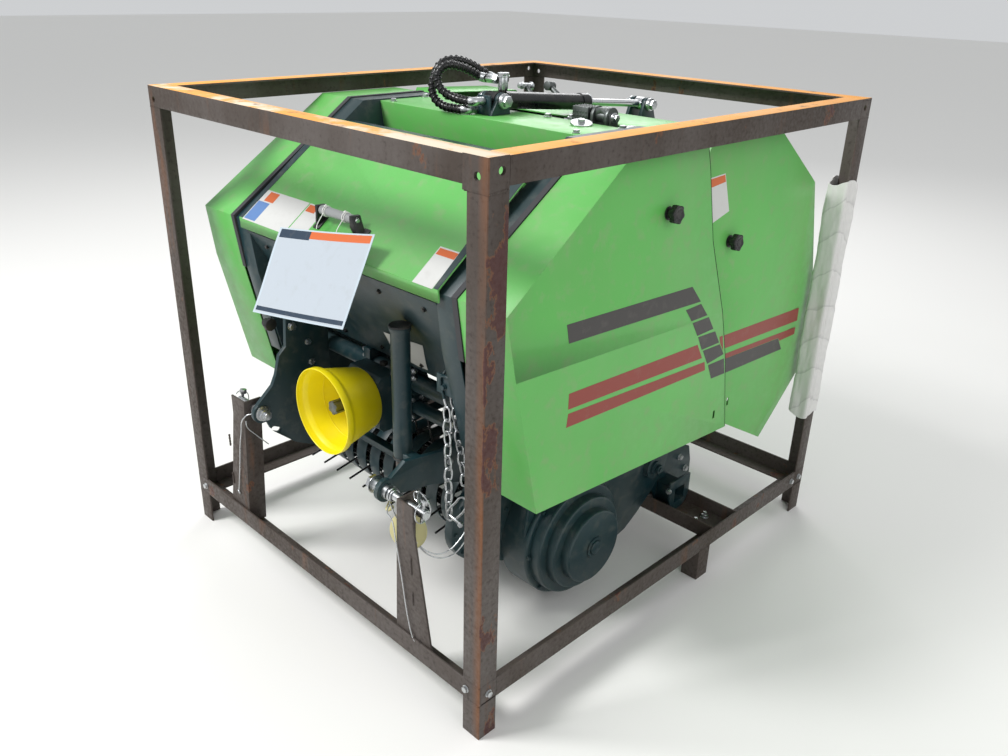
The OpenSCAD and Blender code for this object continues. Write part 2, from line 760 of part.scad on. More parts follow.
// Stations along a bent tube: circles of n points round each point of its centre line
function swept_ring(p, d, r, n) =
    let (u = cross(d, [0, 0, 1]), w = norm(u) < 0.01 ? [1, 0, 0] : u / norm(u), v = cross(w, d / norm(d)))
    [for (i = [0 : n - 1]) p + r * (cos(360 * i / n) * w + sin(360 * i / n) * v)];
module tube_along(points, r, n = 8) {
    last = len(points) - 1;
    rings = [for (i = [0 : last]) swept_ring(points[i], points[min(i + 1, last)] - points[max(i - 1, 0)], r, n)];
    polyhedron(
        [for (ring = rings) each ring],
        concat(
            [[for (i = [n - 1 : -1 : 0]) i]],
            [for (k = [0 : last - 1], i = [0 : n - 1])
                [k * n + i, k * n + (i + 1) % n, (k + 1) * n + (i + 1) % n, (k + 1) * n + i]],
            [[for (i = [0 : n - 1]) last * n + i]]));
}
hose_r = 9;
HOSE_1 = [[-51, -66, 1266], [-60, -66, 1266], [-68, -76, 1269], [-72, -100, 1281], [-78, -134, 1294],
    [-89, -162, 1298], [-99, -180, 1286], [-101, -186, 1264], [-92, -182, 1243], [-70, -174, 1230], [-40, -168, 1223], [-12, -164, 1221],
    [0, -156, 1221], [0, -146, 1221]];
HOSE_2 = [[-63, -24, 1262], [-72, -24, 1262], [-82, -34, 1268], [-90, -60, 1285], [-101, -92, 1301],
    [-114, -124, 1307],
    [-127, -150, 1298], [-133, -168, 1270], [-132, -176, 1242], [-120, -178, 1218], [-96, -172, 1203],
    [-62, -168, 1200], [-36, -166, 1200], [-24, -158, 1200], [-24, -146, 1200]];
module hoses() {
    color(black) {
        tube_along(HOSE_1, hose_r);
        tube_along(HOSE_2, hose_r);
    }
}
module hose_ends() {
    color(steel) for (at = [[0, 1221], [-24, 1200]])
        translate([at[0], -128.5, at[1]]) rotate([90, 0, 0]) cylinder(h = 17, r = 10);
}

// Upper plate that the chains hang from, and the tab on the drive case that holds one of them
module chain_bracket() {
    color(dark) {
        translate([306, -546, 682]) cube([chamber_x - seat - 306, 6, 44]);
        slab(315.5, 320.5) polygon([[-482, 340], [-452, 340], [-460, 392], [-474, 392]]);
    }
}
link_half = 8; // from a link's middle to the centre of its round end
link_pitch = 24.5;
module link_outline(r) {
    polygon(concat(arc([0, link_half], r, 0, 180, 8), arc([0, -link_half], r, 180, 360, 8)));
}
// Hanging chains. Columns: across, along and height of the top link, lean to the rear, number of links
CHAINS = [[318, -513, 692, 8.5, 12], [342, -556, 668, -0.8, 11]];
module chain() {
    color(steel) for (c = CHAINS)
        translate([c[0], c[1], c[2]]) rotate([c[3], 0, 0]) for (i = [0 : c[4] - 1])
            translate([0, 0, -link_pitch * i]) rotate([90, 0, 90 * (i % 2)])
                linear_extrude(5, center = true) difference() {
                    link_outline(9.5);
                    link_outline(4.5);
                }
}

crate_posts();
crate_top_rails();
crate_base_rails();
crate_feet();
crate_beams();
hitch_uprights();
post_sleeve();
side_plates();
front_wall();
cross_tube();
hitch_crossbar();
top_plate();
hood_hinge();
gate_hinge_bosses();
rear_legs();
axle_sockets();
gearbox();
pto_guard();
pto_shaft();
drive_tube();
hitch_plate_right();
hitch_plate_left();
hitch_pins();
stand_tube();
stand_leg();
pickup_reel();
pickup_bands();
pickup_frame();
pickup_covers();
pickup_arm();
front_rollers();
side_cover_right();
side_cover_left();
cover_seals();
cover_knobs();
hood();
hood_handle();
hang_tag();
gate_plates();
gate_hinge_arms();
gate_shell();
gate_rollers();
gate_cover_right();
gate_cover_left();
gate_knobs();
rod_bracket();
cylinder_clevis();
cylinder_barrel();
cylinder_rod();
twine_drive();
hoses();
hose_ends();
chain_bracket();
chain();
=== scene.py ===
"""Finish and small parts of a round baler that stands in its angle-iron crate.

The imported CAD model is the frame. This script gives every node its material, eases the edges of sheet and
bar, and adds what the solids leave out: fasteners, welds, chains, hoses, seals, stripes and blank labels.
"""

import json
import logging
import math
from collections.abc import Sequence
from dataclasses import dataclass, field
from enum import Enum
from typing import Any

import bmesh
import bpy
from mathutils import Euler, Matrix, Vector
from mathutils import noise as wander


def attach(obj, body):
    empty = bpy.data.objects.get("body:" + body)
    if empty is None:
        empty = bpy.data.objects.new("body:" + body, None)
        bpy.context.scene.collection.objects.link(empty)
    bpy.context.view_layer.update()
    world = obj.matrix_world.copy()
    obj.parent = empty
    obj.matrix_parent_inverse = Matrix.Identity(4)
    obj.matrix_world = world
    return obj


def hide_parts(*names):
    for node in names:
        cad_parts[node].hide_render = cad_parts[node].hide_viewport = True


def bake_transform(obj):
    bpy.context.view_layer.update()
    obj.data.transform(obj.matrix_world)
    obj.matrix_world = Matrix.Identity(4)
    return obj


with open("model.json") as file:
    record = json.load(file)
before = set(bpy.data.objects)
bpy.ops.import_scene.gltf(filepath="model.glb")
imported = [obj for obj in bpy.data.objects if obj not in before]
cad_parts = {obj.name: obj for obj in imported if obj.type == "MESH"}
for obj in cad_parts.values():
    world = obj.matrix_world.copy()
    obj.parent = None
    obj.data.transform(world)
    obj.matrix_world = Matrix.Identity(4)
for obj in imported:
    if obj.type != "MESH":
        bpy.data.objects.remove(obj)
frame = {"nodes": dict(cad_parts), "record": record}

MM = 0.001
SMOOTH_DEG = 34.0  # edges flatter than this are shaded smooth
log = logging.getLogger("baler")
Point = Sequence[float]
Colour = tuple[float, float, float, float]
Mesh = bmesh.types.BMesh
Socket = bpy.types.NodeSocket
Tree = bpy.types.NodeTree
Wires = dict[str | int, Any]


# ---------------------------------------------------------------- materials


def linear(code: str) -> Colour:
    """Turn an sRGB hex colour into linear RGBA.

    Args:
        code: Six hex digits after a hash.

    Returns:
        The linear colour with an alpha of one.
    """
    parts = [int(code[i : i + 2], 16) / 255 for i in (1, 3, 5)]
    rgb = [c / 12.92 if c <= 0.04045 else ((c + 0.055) / 1.055) ** 2.4 for c in parts]
    return (*rgb, 1.0)


def grey(value: float) -> Colour:
    """Return a grey of that linear value."""
    return (value, value, value, 1.0)


def add_node(tree: Tree, kind: str, wires: Wires | None = None) -> bpy.types.Node:
    """Add one shader node with its settings and links.

    Args:
        tree: The material's node tree.
        kind: The node's type without its ShaderNode prefix.
        wires: Node attributes by name, values or sockets by the input's name or number, and a ramp's stops.

    Returns:
        The new node.
    """
    node = tree.nodes.new("ShaderNode" + kind)
    for key, value in (wires or {}).items():
        if key == "stops":
            stops = node.color_ramp.elements
            for i, (place, colour) in enumerate(value):
                stop = stops[i] if i < len(stops) else stops.new(place)
                stop.position, stop.color = place, colour
        elif isinstance(value, Socket):
            tree.links.new(value, node.inputs[key])
        elif isinstance(key, str) and hasattr(node, key):
            setattr(node, key, value)
        else:
            node.inputs[key].default_value = value
    return node


def blotches(tree: Tree, place: Socket, size_mm: float, detail: float, stretch: Point = (1, 1, 1)) -> Socket:
    """Give a noise whose blotches have a real size.

    Args:
        tree: The node tree.
        place: The coordinates that it reads.
        size_mm: Size of a blotch in millimetres.
        detail: How many finer layers it has.
        stretch: Scale along each axis, for streaks.

    Returns:
        The noise's value socket.
    """
    turned = add_node(tree, "Mapping", {"Scale": tuple(stretch), "Vector": place}).outputs[0]
    wires = {"Scale": 0.5 / (size_mm * MM), "Detail": detail, "Roughness": 0.6, "Vector": turned}
    return add_node(tree, "TexNoise", wires).outputs["Fac"]


def layer(
    tree: Tree, base: Socket | Colour, colour: str, mask: Socket, span: Point, most: float = 1.0, least: float = 0.0,
    within: Socket | None = None,
) -> Socket:
    """Lay a colour over a base where a mask is high.

    Args:
        tree: The node tree.
        base: What lies below it.
        colour: The layer's hex colour.
        mask: The value that places it.
        span: The mask's values at which the layer has its least and its most share.
        most: Its share above the span.
        least: Its share below it.
        within: A second share that holds the layer back.

    Returns:
        The layered colour.
    """
    stops = ((span[0], grey(least)), (span[1], grey(most)))
    share = add_node(tree, "ValToRGB", {"Fac": mask, "stops": stops}).outputs[0]
    if within is not None:
        share = add_node(tree, "Math", {"operation": "MULTIPLY", 0: share, 1: within}).outputs[0]
    return add_node(tree, "Mix", {"data_type": "RGBA", 0: share, 6: base, 7: linear(colour)}).outputs[2]


@dataclass(frozen=True)
class Finish:
    """What a surface is made of: the start that each finish below shares."""

    name: str

    def build(self) -> bpy.types.Material:
        """Make the material, or return the one that is already made."""
        found = bpy.data.materials.get(self.name)
        if found:
            return found
        made = bpy.data.materials.new(self.name)
        made.use_nodes = True
        tree = made.node_tree
        tree.nodes.clear()
        place = add_node(tree, "TexCoord").outputs["Object"]
        shader = add_node(tree, "BsdfPrincipled", self.dress(tree, place))
        add_node(tree, "OutputMaterial", {"Surface": shader.outputs["BSDF"]})
        return made

    def dress(self, tree: Tree, place: Socket) -> Wires:
        """Build the patterns of the finish.

        Args:
            tree: The material's node tree.
            place: The object's coordinates.

        Returns:
            What feeds the shader's sockets.
        """
        raise NotImplementedError


@dataclass(frozen=True)
class PowderCoat(Finish):
    """Powder-coated sheet steel: an even gloss with orange peel, faint sun fading and yard dust."""

    colour: str
    faded: str
    dust: str = "#9c9482"
    dust_share: float = 0.16
    roughness: float = 0.34
    peel_mm: float = 2.4  # real peel is about 1 mm; drawn coarser so that it shows

    def dress(self, tree: Tree, place: Socket) -> Wires:
        """Mix fading and dust over the coat and give it its peel."""
        base = layer(tree, linear(self.colour), self.faded, blotches(tree, place, 260, 2), (0.35, 0.7))
        fine = blotches(tree, place, 16, 6)
        base = layer(tree, base, self.dust, fine, (0.52, 0.82), self.dust_share * 2.2)
        film = blotches(tree, place, 120, 4, (1, 1, 0.5))
        gloss = ((0.3, grey(self.roughness - 0.05)), (0.75, grey(self.roughness + 0.16)))
        peel = {"Distance": 0.12 * MM, "Strength": 0.22, "Height": blotches(tree, place, self.peel_mm, 2)}
        return {
            "Base Color": layer(tree, base, self.dust, film, (0.42, 0.75), self.dust_share),
            "Roughness": add_node(tree, "ValToRGB", {"Fac": fine, "stops": gloss}).outputs[0],
            "Normal": add_node(tree, "Bump", peel).outputs[0],
            "IOR": 1.5,
        }


@dataclass(frozen=True)
class MillScaleIron(Finish):
    """Hot-rolled angle iron left in the weather: grey-brown scale, with rust mostly on the post nearest the hitch."""

    scale: str = "#57504c"
    brown: str = "#40362f"
    rust: str = "#80502c"
    scab: str = "#45292a"
    speck: str = "#2c2623"
    corner: Point = (0.600, -0.688)  # metres; the post that rusts most

    def dress(self, tree: Tree, place: Socket) -> Wires:
        """Layer streaks, specks and scabs over the scale."""
        base = layer(tree, linear(self.brown), self.scale, blotches(tree, place, 140, 4, (1, 1, 0.4)), (0.38, 0.62))
        fine = blotches(tree, place, 5, 6)
        base = layer(tree, base, self.speck, fine, (0.58, 0.68), 0.45)
        # Streaks run down the bar, as rain carries the rust, and one runs beside the corner
        runs = blotches(tree, place, 24, 5, (1, 1, 0.12))
        base = layer(tree, base, self.rust, runs, (0.6, 0.76), 0.4)
        beside = self.window(tree, place, (-0.024, -0.006), (0.004, 0.001))
        base = layer(tree, base, self.rust, runs, (0.34, 0.6), 0.75, 0.1, beside)
        # Scabs with a thin rim of rust, thickest down the post's outer face
        lift = self.window(tree, place, (-0.006, -0.002), (0.07, 0.045), 0.075)
        scabs = blotches(tree, place, 48, 7, (1, 1, 0.6))
        scabs = add_node(tree, "Math", {"operation": "ADD", 0: scabs, 1: lift}).outputs[0]
        base = layer(tree, base, self.rust, scabs, (0.652, 0.668), 0.7)
        pits = add_node(tree, "Math", {"operation": "ADD", 0: blotches(tree, place, 3, 8), 1: scabs}).outputs[0]
        gloss = ((0.35, grey(0.45)), (0.65, grey(0.8)))
        return {
            "Base Color": layer(tree, base, self.scab, scabs, (0.664, 0.68), 0.9),
            "Roughness": add_node(tree, "ValToRGB", {"Fac": fine, "stops": gloss}).outputs[0],
            "Normal": add_node(tree, "Bump", {"Distance": 0.6 * MM, "Strength": 0.4, "Height": pits}).outputs[0],
            "Metallic": 0.2,
        }

    def window(self, tree: Tree, place: Socket, across: Point, along: Point, most: float = 1.0) -> Socket:
        """Give a share that is high only beside the corner that rusts most.

        Args:
            tree: The node tree.
            place: The object's coordinates.
            across: Metres off the corner, across the crate, at which it starts and is full.
            along: The same along the crate.
            most: The share where both are full.

        Returns:
            The share's socket.
        """
        axes = add_node(tree, "SeparateXYZ", {0: place}).outputs
        shares = []
        for axis, (start, end), top in ((0, across, 1.0), (1, along, most)):
            corner = self.corner[axis]
            wires = {"Value": axes[axis], "From Min": corner + start, "From Max": corner + end, "To Max": top}
            shares.append(add_node(tree, "MapRange", wires).outputs[0])
        return add_node(tree, "Math", {"operation": "MULTIPLY", 0: shares[0], 1: shares[1]}).outputs[0]


@dataclass(frozen=True)
class WornPrimer(Finish):
    """Orange primer on the top of the rails; on the hitch end's rail it is scuffed to white where loads slid."""

    primer: str = "#e6a04a"
    scuff: str = "#ddd2be"
    iron: str = "#6b4a38"
    worn_from: float = -0.625  # metres along the machine; the rail beyond it is the scuffed one

    def dress(self, tree: Tree, place: Socket) -> Wires:
        """Scuff the primer, mostly on the rail at the hitch end."""
        along = add_node(tree, "SeparateXYZ", {0: place}).outputs["Y"]
        ends = {"From Min": self.worn_from, "From Max": self.worn_from - 0.03, "To Min": 0.12, "To Max": 1.0}
        share = add_node(tree, "MapRange", {"Value": along, **ends}).outputs[0]
        patches = blotches(tree, place, 60, 6)
        base = layer(tree, linear(self.primer), self.scuff, patches, (0.46, 0.56), 0.9, within=share)
        flakes = {"Distance": 0.3 * MM, "Strength": 0.5, "Height": blotches(tree, place, 5, 6)}
        return {
            "Base Color": layer(tree, base, self.iron, blotches(tree, place, 24, 6), (0.6, 0.68), 0.8),
            "Normal": add_node(tree, "Bump", flakes).outputs[0],
            "Roughness": 0.7,
        }


@dataclass(frozen=True)
class PlatedSteel(Finish):
    """Zinc-plated or chromed steel: bright, with a grain that breaks up its reflections."""

    colour: str = "#c6c9cb"
    roughness: float = 0.3
    grain_mm: float = 3.0
    stain: str = "#7d7568"

    def dress(self, tree: Tree, place: Socket) -> Wires:
        """Vary gloss and tint by the plating's grain."""
        grain = blotches(tree, place, self.grain_mm, 4)
        gloss = ((0.3, grey(self.roughness * 0.7)), (0.7, grey(self.roughness * 1.5)))
        return {
            "Base Color": layer(tree, linear(self.colour), self.stain, grain, (0.5, 0.85), 0.5),
            "Roughness": add_node(tree, "ValToRGB", {"Fac": grain, "stops": gloss}).outputs[0],
            "Metallic": 1.0,
        }


@dataclass(frozen=True)
class MouldedPlastic(Finish):
    """Injection-moulded plastic or moulded rubber: a fine grain and a soft sheen."""

    colour: str
    roughness: float = 0.42
    grain_mm: float = 1.6
    worn: str = "#8c8778"
    wear: float = 0.1

    def dress(self, tree: Tree, place: Socket) -> Wires:
        """Give the moulding its grain and a little dust."""
        fine = blotches(tree, place, self.grain_mm, 3)
        gloss = ((0.3, grey(self.roughness - 0.06)), (0.7, grey(self.roughness + 0.1)))
        dust = blotches(tree, place, 30, 5)
        return {
            "Base Color": layer(tree, linear(self.colour), self.worn, dust, (0.5, 0.8), self.wear * 2),
            "Roughness": add_node(tree, "ValToRGB", {"Fac": fine, "stops": gloss}).outputs[0],
            "Normal": add_node(tree, "Bump", {"Distance": 0.1 * MM, "Strength": 0.35, "Height": fine}).outputs[0],
        }


@dataclass(frozen=True)
class WovenWrap(Finish):
    """Woven white packing film wound on the slant: bands that overlap and a weave across them."""

    colour: str = "#dddcd9"
    shade: str = "#a5a5a3"
    slant_deg: float = 38.0
    lap_mm: float = 60.0
    thread_mm: float = 3.0  # real tape is 2.5 mm wide

    def dress(self, tree: Tree, place: Socket) -> Wires:
        """Draw the laps as slanted bands and the weave as two crossing waves."""
        turn = math.radians(self.slant_deg)
        slant = add_node(tree, "Mapping", {"Rotation": (turn, turn, 0), "Vector": place}).outputs[0]
        laps = add_node(tree, "TexWave", {
            "wave_profile": "SAW", "bands_direction": "Z", "Scale": 0.31 / (self.lap_mm * MM), "Distortion": 2.5,
            "Detail Scale": 3.0, "Vector": slant,
        }).outputs["Fac"]
        weave = [
            add_node(tree, "TexWave", {
                "bands_direction": way, "Scale": 0.31 / (self.thread_mm * MM), "Vector": slant,
            }).outputs["Fac"]
            for way in ("Z", "X")
        ]
        cloth = add_node(tree, "Math", {"operation": "MULTIPLY", 0: weave[0], 1: weave[1]}).outputs[0]
        edges = ((0.0, grey(0.55)), (0.1, grey(0.12)), (1.0, grey(0.0)))
        share = add_node(tree, "ValToRGB", {"Fac": laps, "stops": edges}).outputs[0]
        ends = {"data_type": "RGBA", 6: linear(self.colour), 7: linear(self.shade)}
        base = add_node(tree, "Mix", {**ends, 0: share}).outputs[2]
        folds = add_node(tree, "Math", {"operation": "ADD", 0: laps, 1: blotches(tree, place, 26, 4)}).outputs[0]
        coarse = add_node(tree, "Bump", {"Distance": 4 * MM, "Strength": 0.45, "Height": folds}).outputs[0]
        fine = {"Distance": 0.4 * MM, "Strength": 0.4, "Height": cloth, "Normal": coarse}
        return {
            "Base Color": layer(tree, base, self.shade, cloth, (0.2, 0.8), 0.35),
            "Normal": add_node(tree, "Bump", fine).outputs[0],
            "Roughness": 0.38,
        }


@dataclass(frozen=True)
class PrintedFilm(Finish):
    """Vinyl film or laminated card: one even ink under a clear gloss, rubbed here and there."""

    colour: str
    roughness: float = 0.3
    rubbed: str = "#8f8b80"
    rubbed_share: float = 0.2

    def dress(self, tree: Tree, place: Socket) -> Wires:
        """Rub the ink a little, and let the film wave."""
        rubs = blotches(tree, place, 14, 6)
        waves = {"Distance": 0.4 * MM, "Strength": 0.25, "Height": blotches(tree, place, 40, 2)}
        return {
            "Base Color": layer(tree, linear(self.colour), self.rubbed, rubs, (0.55, 0.85), self.rubbed_share),
            "Normal": add_node(tree, "Bump", waves).outputs[0],
            "Roughness": self.roughness,
        }


@dataclass(frozen=True)
class PlainFloor(Finish):
    """Plain matt floor."""

    colour: str

    def dress(self, tree: Tree, place: Socket) -> Wires:
        """Set one plain colour."""
        return {"Base Color": linear(self.colour), "Roughness": 0.9}


class Stuff(Enum):
    """The finishes of the machine and its crate."""

    GREEN = PowderCoat("green_powder_coat", "#5cb053", "#67ba5d", dust_share=0.2)
    DARK = PowderCoat("dark_green_powder_coat", "#0c2a30", "#103238", dust_share=0.08, roughness=0.36)
    BLACK_PAINT = PowderCoat("black_enamel", "#0f1113", "#141618", dust_share=0.05, roughness=0.24)
    IRON = MillScaleIron("mill_scale_iron")
    PRIMER = WornPrimer("worn_orange_primer")
    ZINC = PlatedSteel("zinc_plated_steel")
    CHROME = PlatedSteel("hard_chrome_rod", "#dcdee0", 0.1, 1.5)
    CAST = PlatedSteel("cast_steel", "#6d7170", 0.42, 5.0, "#3d3a36")
    ROLLER = PlatedSteel("rolled_steel_tube", "#8d9193", 0.42, 8.0, "#5a5046")
    BLACK_PLASTIC = MouldedPlastic("black_moulded_plastic", "#191a1b")
    YELLOW_PLASTIC = MouldedPlastic("yellow_moulded_plastic", "#efdc0a", 0.38, wear=0.05)
    CREAM_PLASTIC = MouldedPlastic("cream_moulded_plastic", "#c6bf8c", 0.5)
    GREY_PLASTIC = MouldedPlastic("grey_grip_tube", "#97999a", 0.5)
    WHITE_TIE = MouldedPlastic("white_nylon_tie", "#e4e4e0", 0.4, wear=0.03)
    RUBBER = MouldedPlastic("black_rubber", "#141516", 0.6, 2.5)
    FOAM = WovenWrap("woven_packing_wrap")
    SPIRAL = MouldedPlastic("black_spiral_guard", "#101112", 0.26, 2.0, wear=0.02)
    WHITE_FILM = PrintedFilm("white_label_film", "#cdcdca")
    ORANGE_FILM = PrintedFilm("orange_label_band", "#cc6430")
    # Blue-grey film that paints the shadow of a crate post on a hood sticker
    POST_SHADOW_FILM = PrintedFilm("painted_post_shadow", "#5b7fb4")
    CARD_FILM = PrintedFilm("white_laminated_card", "#b3bbc3", 0.2)
    NAVY_FILM = PrintedFilm("dark_blue_card_band", "#27384a", 0.2)
    CLEAR_EDGE = PrintedFilm("clear_laminate_edge", "#b9c6cf", 0.15)
    STRIPE_DARK = PrintedFilm("dark_grey_stripe_vinyl", "#3b3837", 0.36)
    STRIPE_RED = PrintedFilm("brick_red_stripe_vinyl", "#8a372d", 0.36)
    # Painted shadow: the thin dark line along the seam between the covers
    SEAM_SHADOW = MouldedPlastic("painted_seam_shadow", "#0d0e0e", 0.7, 2.5, wear=0.02)


# ---------------------------------------------------------------- shaping


class Plane(Enum):
    """The view that an outline is drawn in, and the axis that it is extruded along."""

    SIDE = Matrix(((0, 0, 1), (1, 0, 0), (0, 1, 0)))
    FRONT = Matrix(((1, 0, 0), (0, 0, 1), (0, 1, 0)))
    TOP = Matrix(((1, 0, 0), (0, 1, 0), (0, 0, 1)))


def move(part: Mesh, matrix: Matrix) -> None:
    """Transform a whole shape."""
    bmesh.ops.transform(part, matrix=matrix, verts=part.verts)


def thicken(part: Mesh, way: Point) -> None:
    """Extrude a shape's faces along a vector."""
    made = bmesh.ops.extrude_face_region(part, geom=part.faces[:])["geom"]
    bmesh.ops.translate(part, verts=[v for v in made if isinstance(v, bmesh.types.BMVert)], vec=way)


def soften(
    part: Mesh, edges: Sequence[bmesh.types.BMEdge], radius: float, segments: int = 2, clamp: bool = False
) -> None:
    """Round edges of a shape.

    Args:
        part: The shape.
        edges: The edges that are rounded.
        radius: Their radius.
        segments: Steps round each.
        clamp: Whether the radius shrinks where two edges would meet.
    """
    bmesh.ops.bevel(
        part, geom=edges, offset=radius, segments=segments, profile=0.5, affect="EDGES", material=-1,
        clamp_overlap=clamp,
    )


def rising(part: Mesh, least: float) -> list[bmesh.types.BMEdge]:
    """Return a shape's edges that rise by more than a height."""
    return [e for e in part.edges if abs(e.verts[0].co.z - e.verts[1].co.z) > least]


def pose(at: Point, turn: Point = (0, 0, 0)) -> Matrix:
    """Return the matrix of a place and angles in degrees."""
    return Matrix.Translation(at) @ Euler([math.radians(a) for a in turn]).to_matrix().to_4x4()


def stood(at: Point, way: Point) -> Matrix:
    """Return the matrix that stands a shape's Z axis on a place, along a direction."""
    turn = Vector((0, 0, 1)).rotation_difference(Vector(way)).to_matrix().to_4x4()
    return Matrix.Translation(at) @ turn


def about(radius: float, degrees: float) -> tuple[float, float]:
    """Return the two coordinates of a point on a circle about zero."""
    turn = math.radians(degrees)
    return radius * math.cos(turn), radius * math.sin(turn)


def smooth_line(
    points: Sequence[Point], fine: int, radius: float = 0, sides: int = 0, closed: bool = False
) -> bpy.types.Mesh:
    """Run a smooth line through points, bare or as a tube with closed ends.

    Args:
        points: Points that it passes.
        fine: Steps between two points.
        radius: The tube's radius; none leaves the line bare.
        sides: Resolution of the tube's section.
        closed: Whether the line joins its start.

    Returns:
        Its mesh, which the caller removes.
    """
    curve = bpy.data.curves.new("line", "CURVE")
    curve.dimensions, curve.resolution_u, curve.use_fill_caps = "3D", fine, True
    curve.bevel_depth, curve.bevel_resolution = radius, sides
    line = curve.splines.new("BEZIER")
    line.bezier_points.add(len(points) - 1)
    for knot, at in zip(line.bezier_points, points):
        knot.co = at
        knot.handle_left_type = knot.handle_right_type = "AUTO"
    line.use_cyclic_u = closed
    holder = bpy.data.objects.new("line", curve)
    made = bpy.data.meshes.new_from_object(holder)
    bpy.data.objects.remove(holder)
    bpy.data.curves.remove(curve)
    return made


@dataclass
class Form:
    """A mesh in the making, in millimetres; each shape added takes one of the piece's materials."""

    mesh: Mesh = field(default_factory=bmesh.new)

    def join(self, part: Mesh) -> None:
        """Add a shape as it is, and free it."""
        holder = bpy.data.meshes.new("holder")
        part.to_mesh(holder)
        part.free()
        self.mesh.from_mesh(holder)
        bpy.data.meshes.remove(holder)

    def take(self, part: Mesh, stuff: int = 0) -> None:
        """Add a shape with its faces outwards and smooth.

        Args:
            part: The shape, which is freed.
            stuff: Number of its material among the piece's.
        """
        bmesh.ops.recalc_face_normals(part, faces=part.faces)
        for face in part.faces:
            face.material_index, face.smooth = stuff, True
        self.join(part)

    def prism(
        self, outline: Sequence[Point], start: float, end: float, plane: Plane = Plane.SIDE, ease: float = 0.0
    ) -> None:
        """Extrude an outline.

        Args:
            outline: Corners in the plane, in order.
            start: Where the shape starts along the plane's axis.
            end: Where it ends.
            plane: The view that the outline is drawn in.
            ease: Radius of its edges.
        """
        part = bmesh.new()
        part.faces.new([part.verts.new((*p, start)) for p in outline])
        thicken(part, (0, 0, end - start))
        if ease:
            soften(part, part.edges[:], ease)
        move(part, plane.value.to_4x4())
        self.take(part)

    def block(self, centre: Point, size: Point, turn: Point = (0, 0, 0), ease: float = 0.6, stuff: int = 0) -> None:
        """Add a block with eased edges.

        Args:
            centre: Its middle.
            size: Its size along each axis.
            turn: Angles in degrees.
            ease: Radius of its edges.
            stuff: Number of its material.
        """
        part = bmesh.new()
        bmesh.ops.create_cube(part, size=1, matrix=Matrix.Diagonal((*size, 1)))
        soften(part, part.edges[:], ease)
        move(part, pose(centre, turn))
        self.take(part, stuff)

    def bar(self, a: Point, b: Point, radius: float, sides: int = 24, ease: float = 0.5, stuff: int = 0) -> None:
        """Add a round or many-sided bar between two points.

        Args:
            a: Its first end.
            b: Its other end.
            radius: Its radius.
            sides: Number of its sides.
            ease: Radius of the edges at its ends.
            stuff: Number of its material.
        """
        part = bmesh.new()
        way = Vector(b) - Vector(a)
        bmesh.ops.create_cone(
            part, cap_ends=True, segments=sides, radius1=radius, radius2=radius, depth=way.length,
            matrix=Matrix.Translation((0, 0, way.length / 2)),
        )
        if ease:
            soften(part, [e for e in part.edges if abs(e.verts[0].co.z - e.verts[1].co.z) < 1e-4], ease)
        move(part, stood(a, way))
        self.take(part, stuff)

    def lathe(self, profile: Sequence[Point], at: Point, way: Point, steps: int = 64, stuff: int = 0) -> None:
        """Spin a profile.

        Args:
            profile: Points of radius and height; a closed loop where its ends meet.
            at: Where height zero lies.
            way: The axis.
            steps: Steps round.
            stuff: Number of its material.
        """
        part = bmesh.new()
        dots = [part.verts.new((r, 0, h)) for r, h in profile]
        edges = [part.edges.new(pair) for pair in zip(dots, dots[1:])]
        if profile[0] == profile[-1]:
            bmesh.ops.weld_verts(part, targetmap={dots[-1]: dots[0]})
            dots, edges = part.verts[:], part.edges[:]
        bmesh.ops.spin(
            part, geom=dots + edges, cent=(0, 0, 0), axis=(0, 0, 1), angle=math.tau, steps=steps, use_merge=True
        )
        bmesh.ops.remove_doubles(part, verts=part.verts, dist=1e-4)
        move(part, stood(at, way))
        self.take(part, stuff)

    def ring(self, at: Point, way: Point, radius: float, wire: float, steps: int = 32, stuff: int = 0) -> None:
        """Add a ring of round wire.

        Args:
            at: Its middle.
            way: Its axis.
            radius: Radius of its centre line.
            wire: Radius of the wire.
            steps: Steps round.
            stuff: Number of its material.
        """
        loop = [(radius + wire * math.cos(a), wire * math.sin(a)) for a in (math.tau * i / 10 for i in range(11))]
        loop[-1] = loop[0]
        self.lathe(loop, at, way, steps, stuff)

    def bolt(self, at: Point, way: Point, across: float = 17, stuff: int = 0, tail: float = 0) -> None:
        """Add a hexagon bolt head on its washer.

        Args:
            at: Middle of the washer's foot.
            way: Direction that the head faces.
            across: Size across the flats.
            stuff: Number of its material.
            tail: Length of thread that stands out past a nut.
        """
        out, foot, washer = Vector(way).normalized(), Vector(at), 2.2
        top = washer + across * 0.42
        self.bar(foot, foot + out * washer, across * 0.68, 28, 0.3, stuff)
        self.bar(foot + out * washer, foot + out * top, across * 0.575, 6, 0.8, stuff)
        if tail:
            self.bar(foot + out * 2, foot + out * (top + tail), across * 0.32, 16, 0.6, stuff)

    def tube(
        self, points: Sequence[Point], radius: float, stuff: int = 0, closed: bool = False, sides: int = 3,
        fine: int = 5,
    ) -> None:
        """Add a bent tube or wire along a smooth line.

        Args:
            points: Points that its centre line passes.
            radius: Its radius.
            stuff: Number of its material.
            closed: Whether the line joins its start.
            sides: Resolution of its section.
            fine: Steps between two points.
        """
        made = smooth_line(points, fine, radius, sides, closed)
        part = bmesh.new()
        part.from_mesh(made)
        bpy.data.meshes.remove(made)
        bmesh.ops.remove_doubles(part, verts=part.verts, dist=1e-4)
        self.take(part, stuff)

    def bead(self, a: Point, b: Point, radius: float) -> None:
        """Add a weld bead: overlapping ripples from a to b.

        Args:
            a: Its start.
            b: Its end.
            radius: Its radius.
        """
        start, way = Vector(a), Vector(b) - Vector(a)
        count = max(2, round(way.length / (radius * 1.1)))
        for i in range(count + 1):
            part = bmesh.new()
            bmesh.ops.create_icosphere(part, subdivisions=1, radius=radius)
            swell = 1 + 0.16 * math.sin(i * 2.3)
            move(part, Matrix.Translation(start + way * (i / count)) @ Matrix.Diagonal((swell, swell, 0.9 * swell, 1)))
            self.take(part)

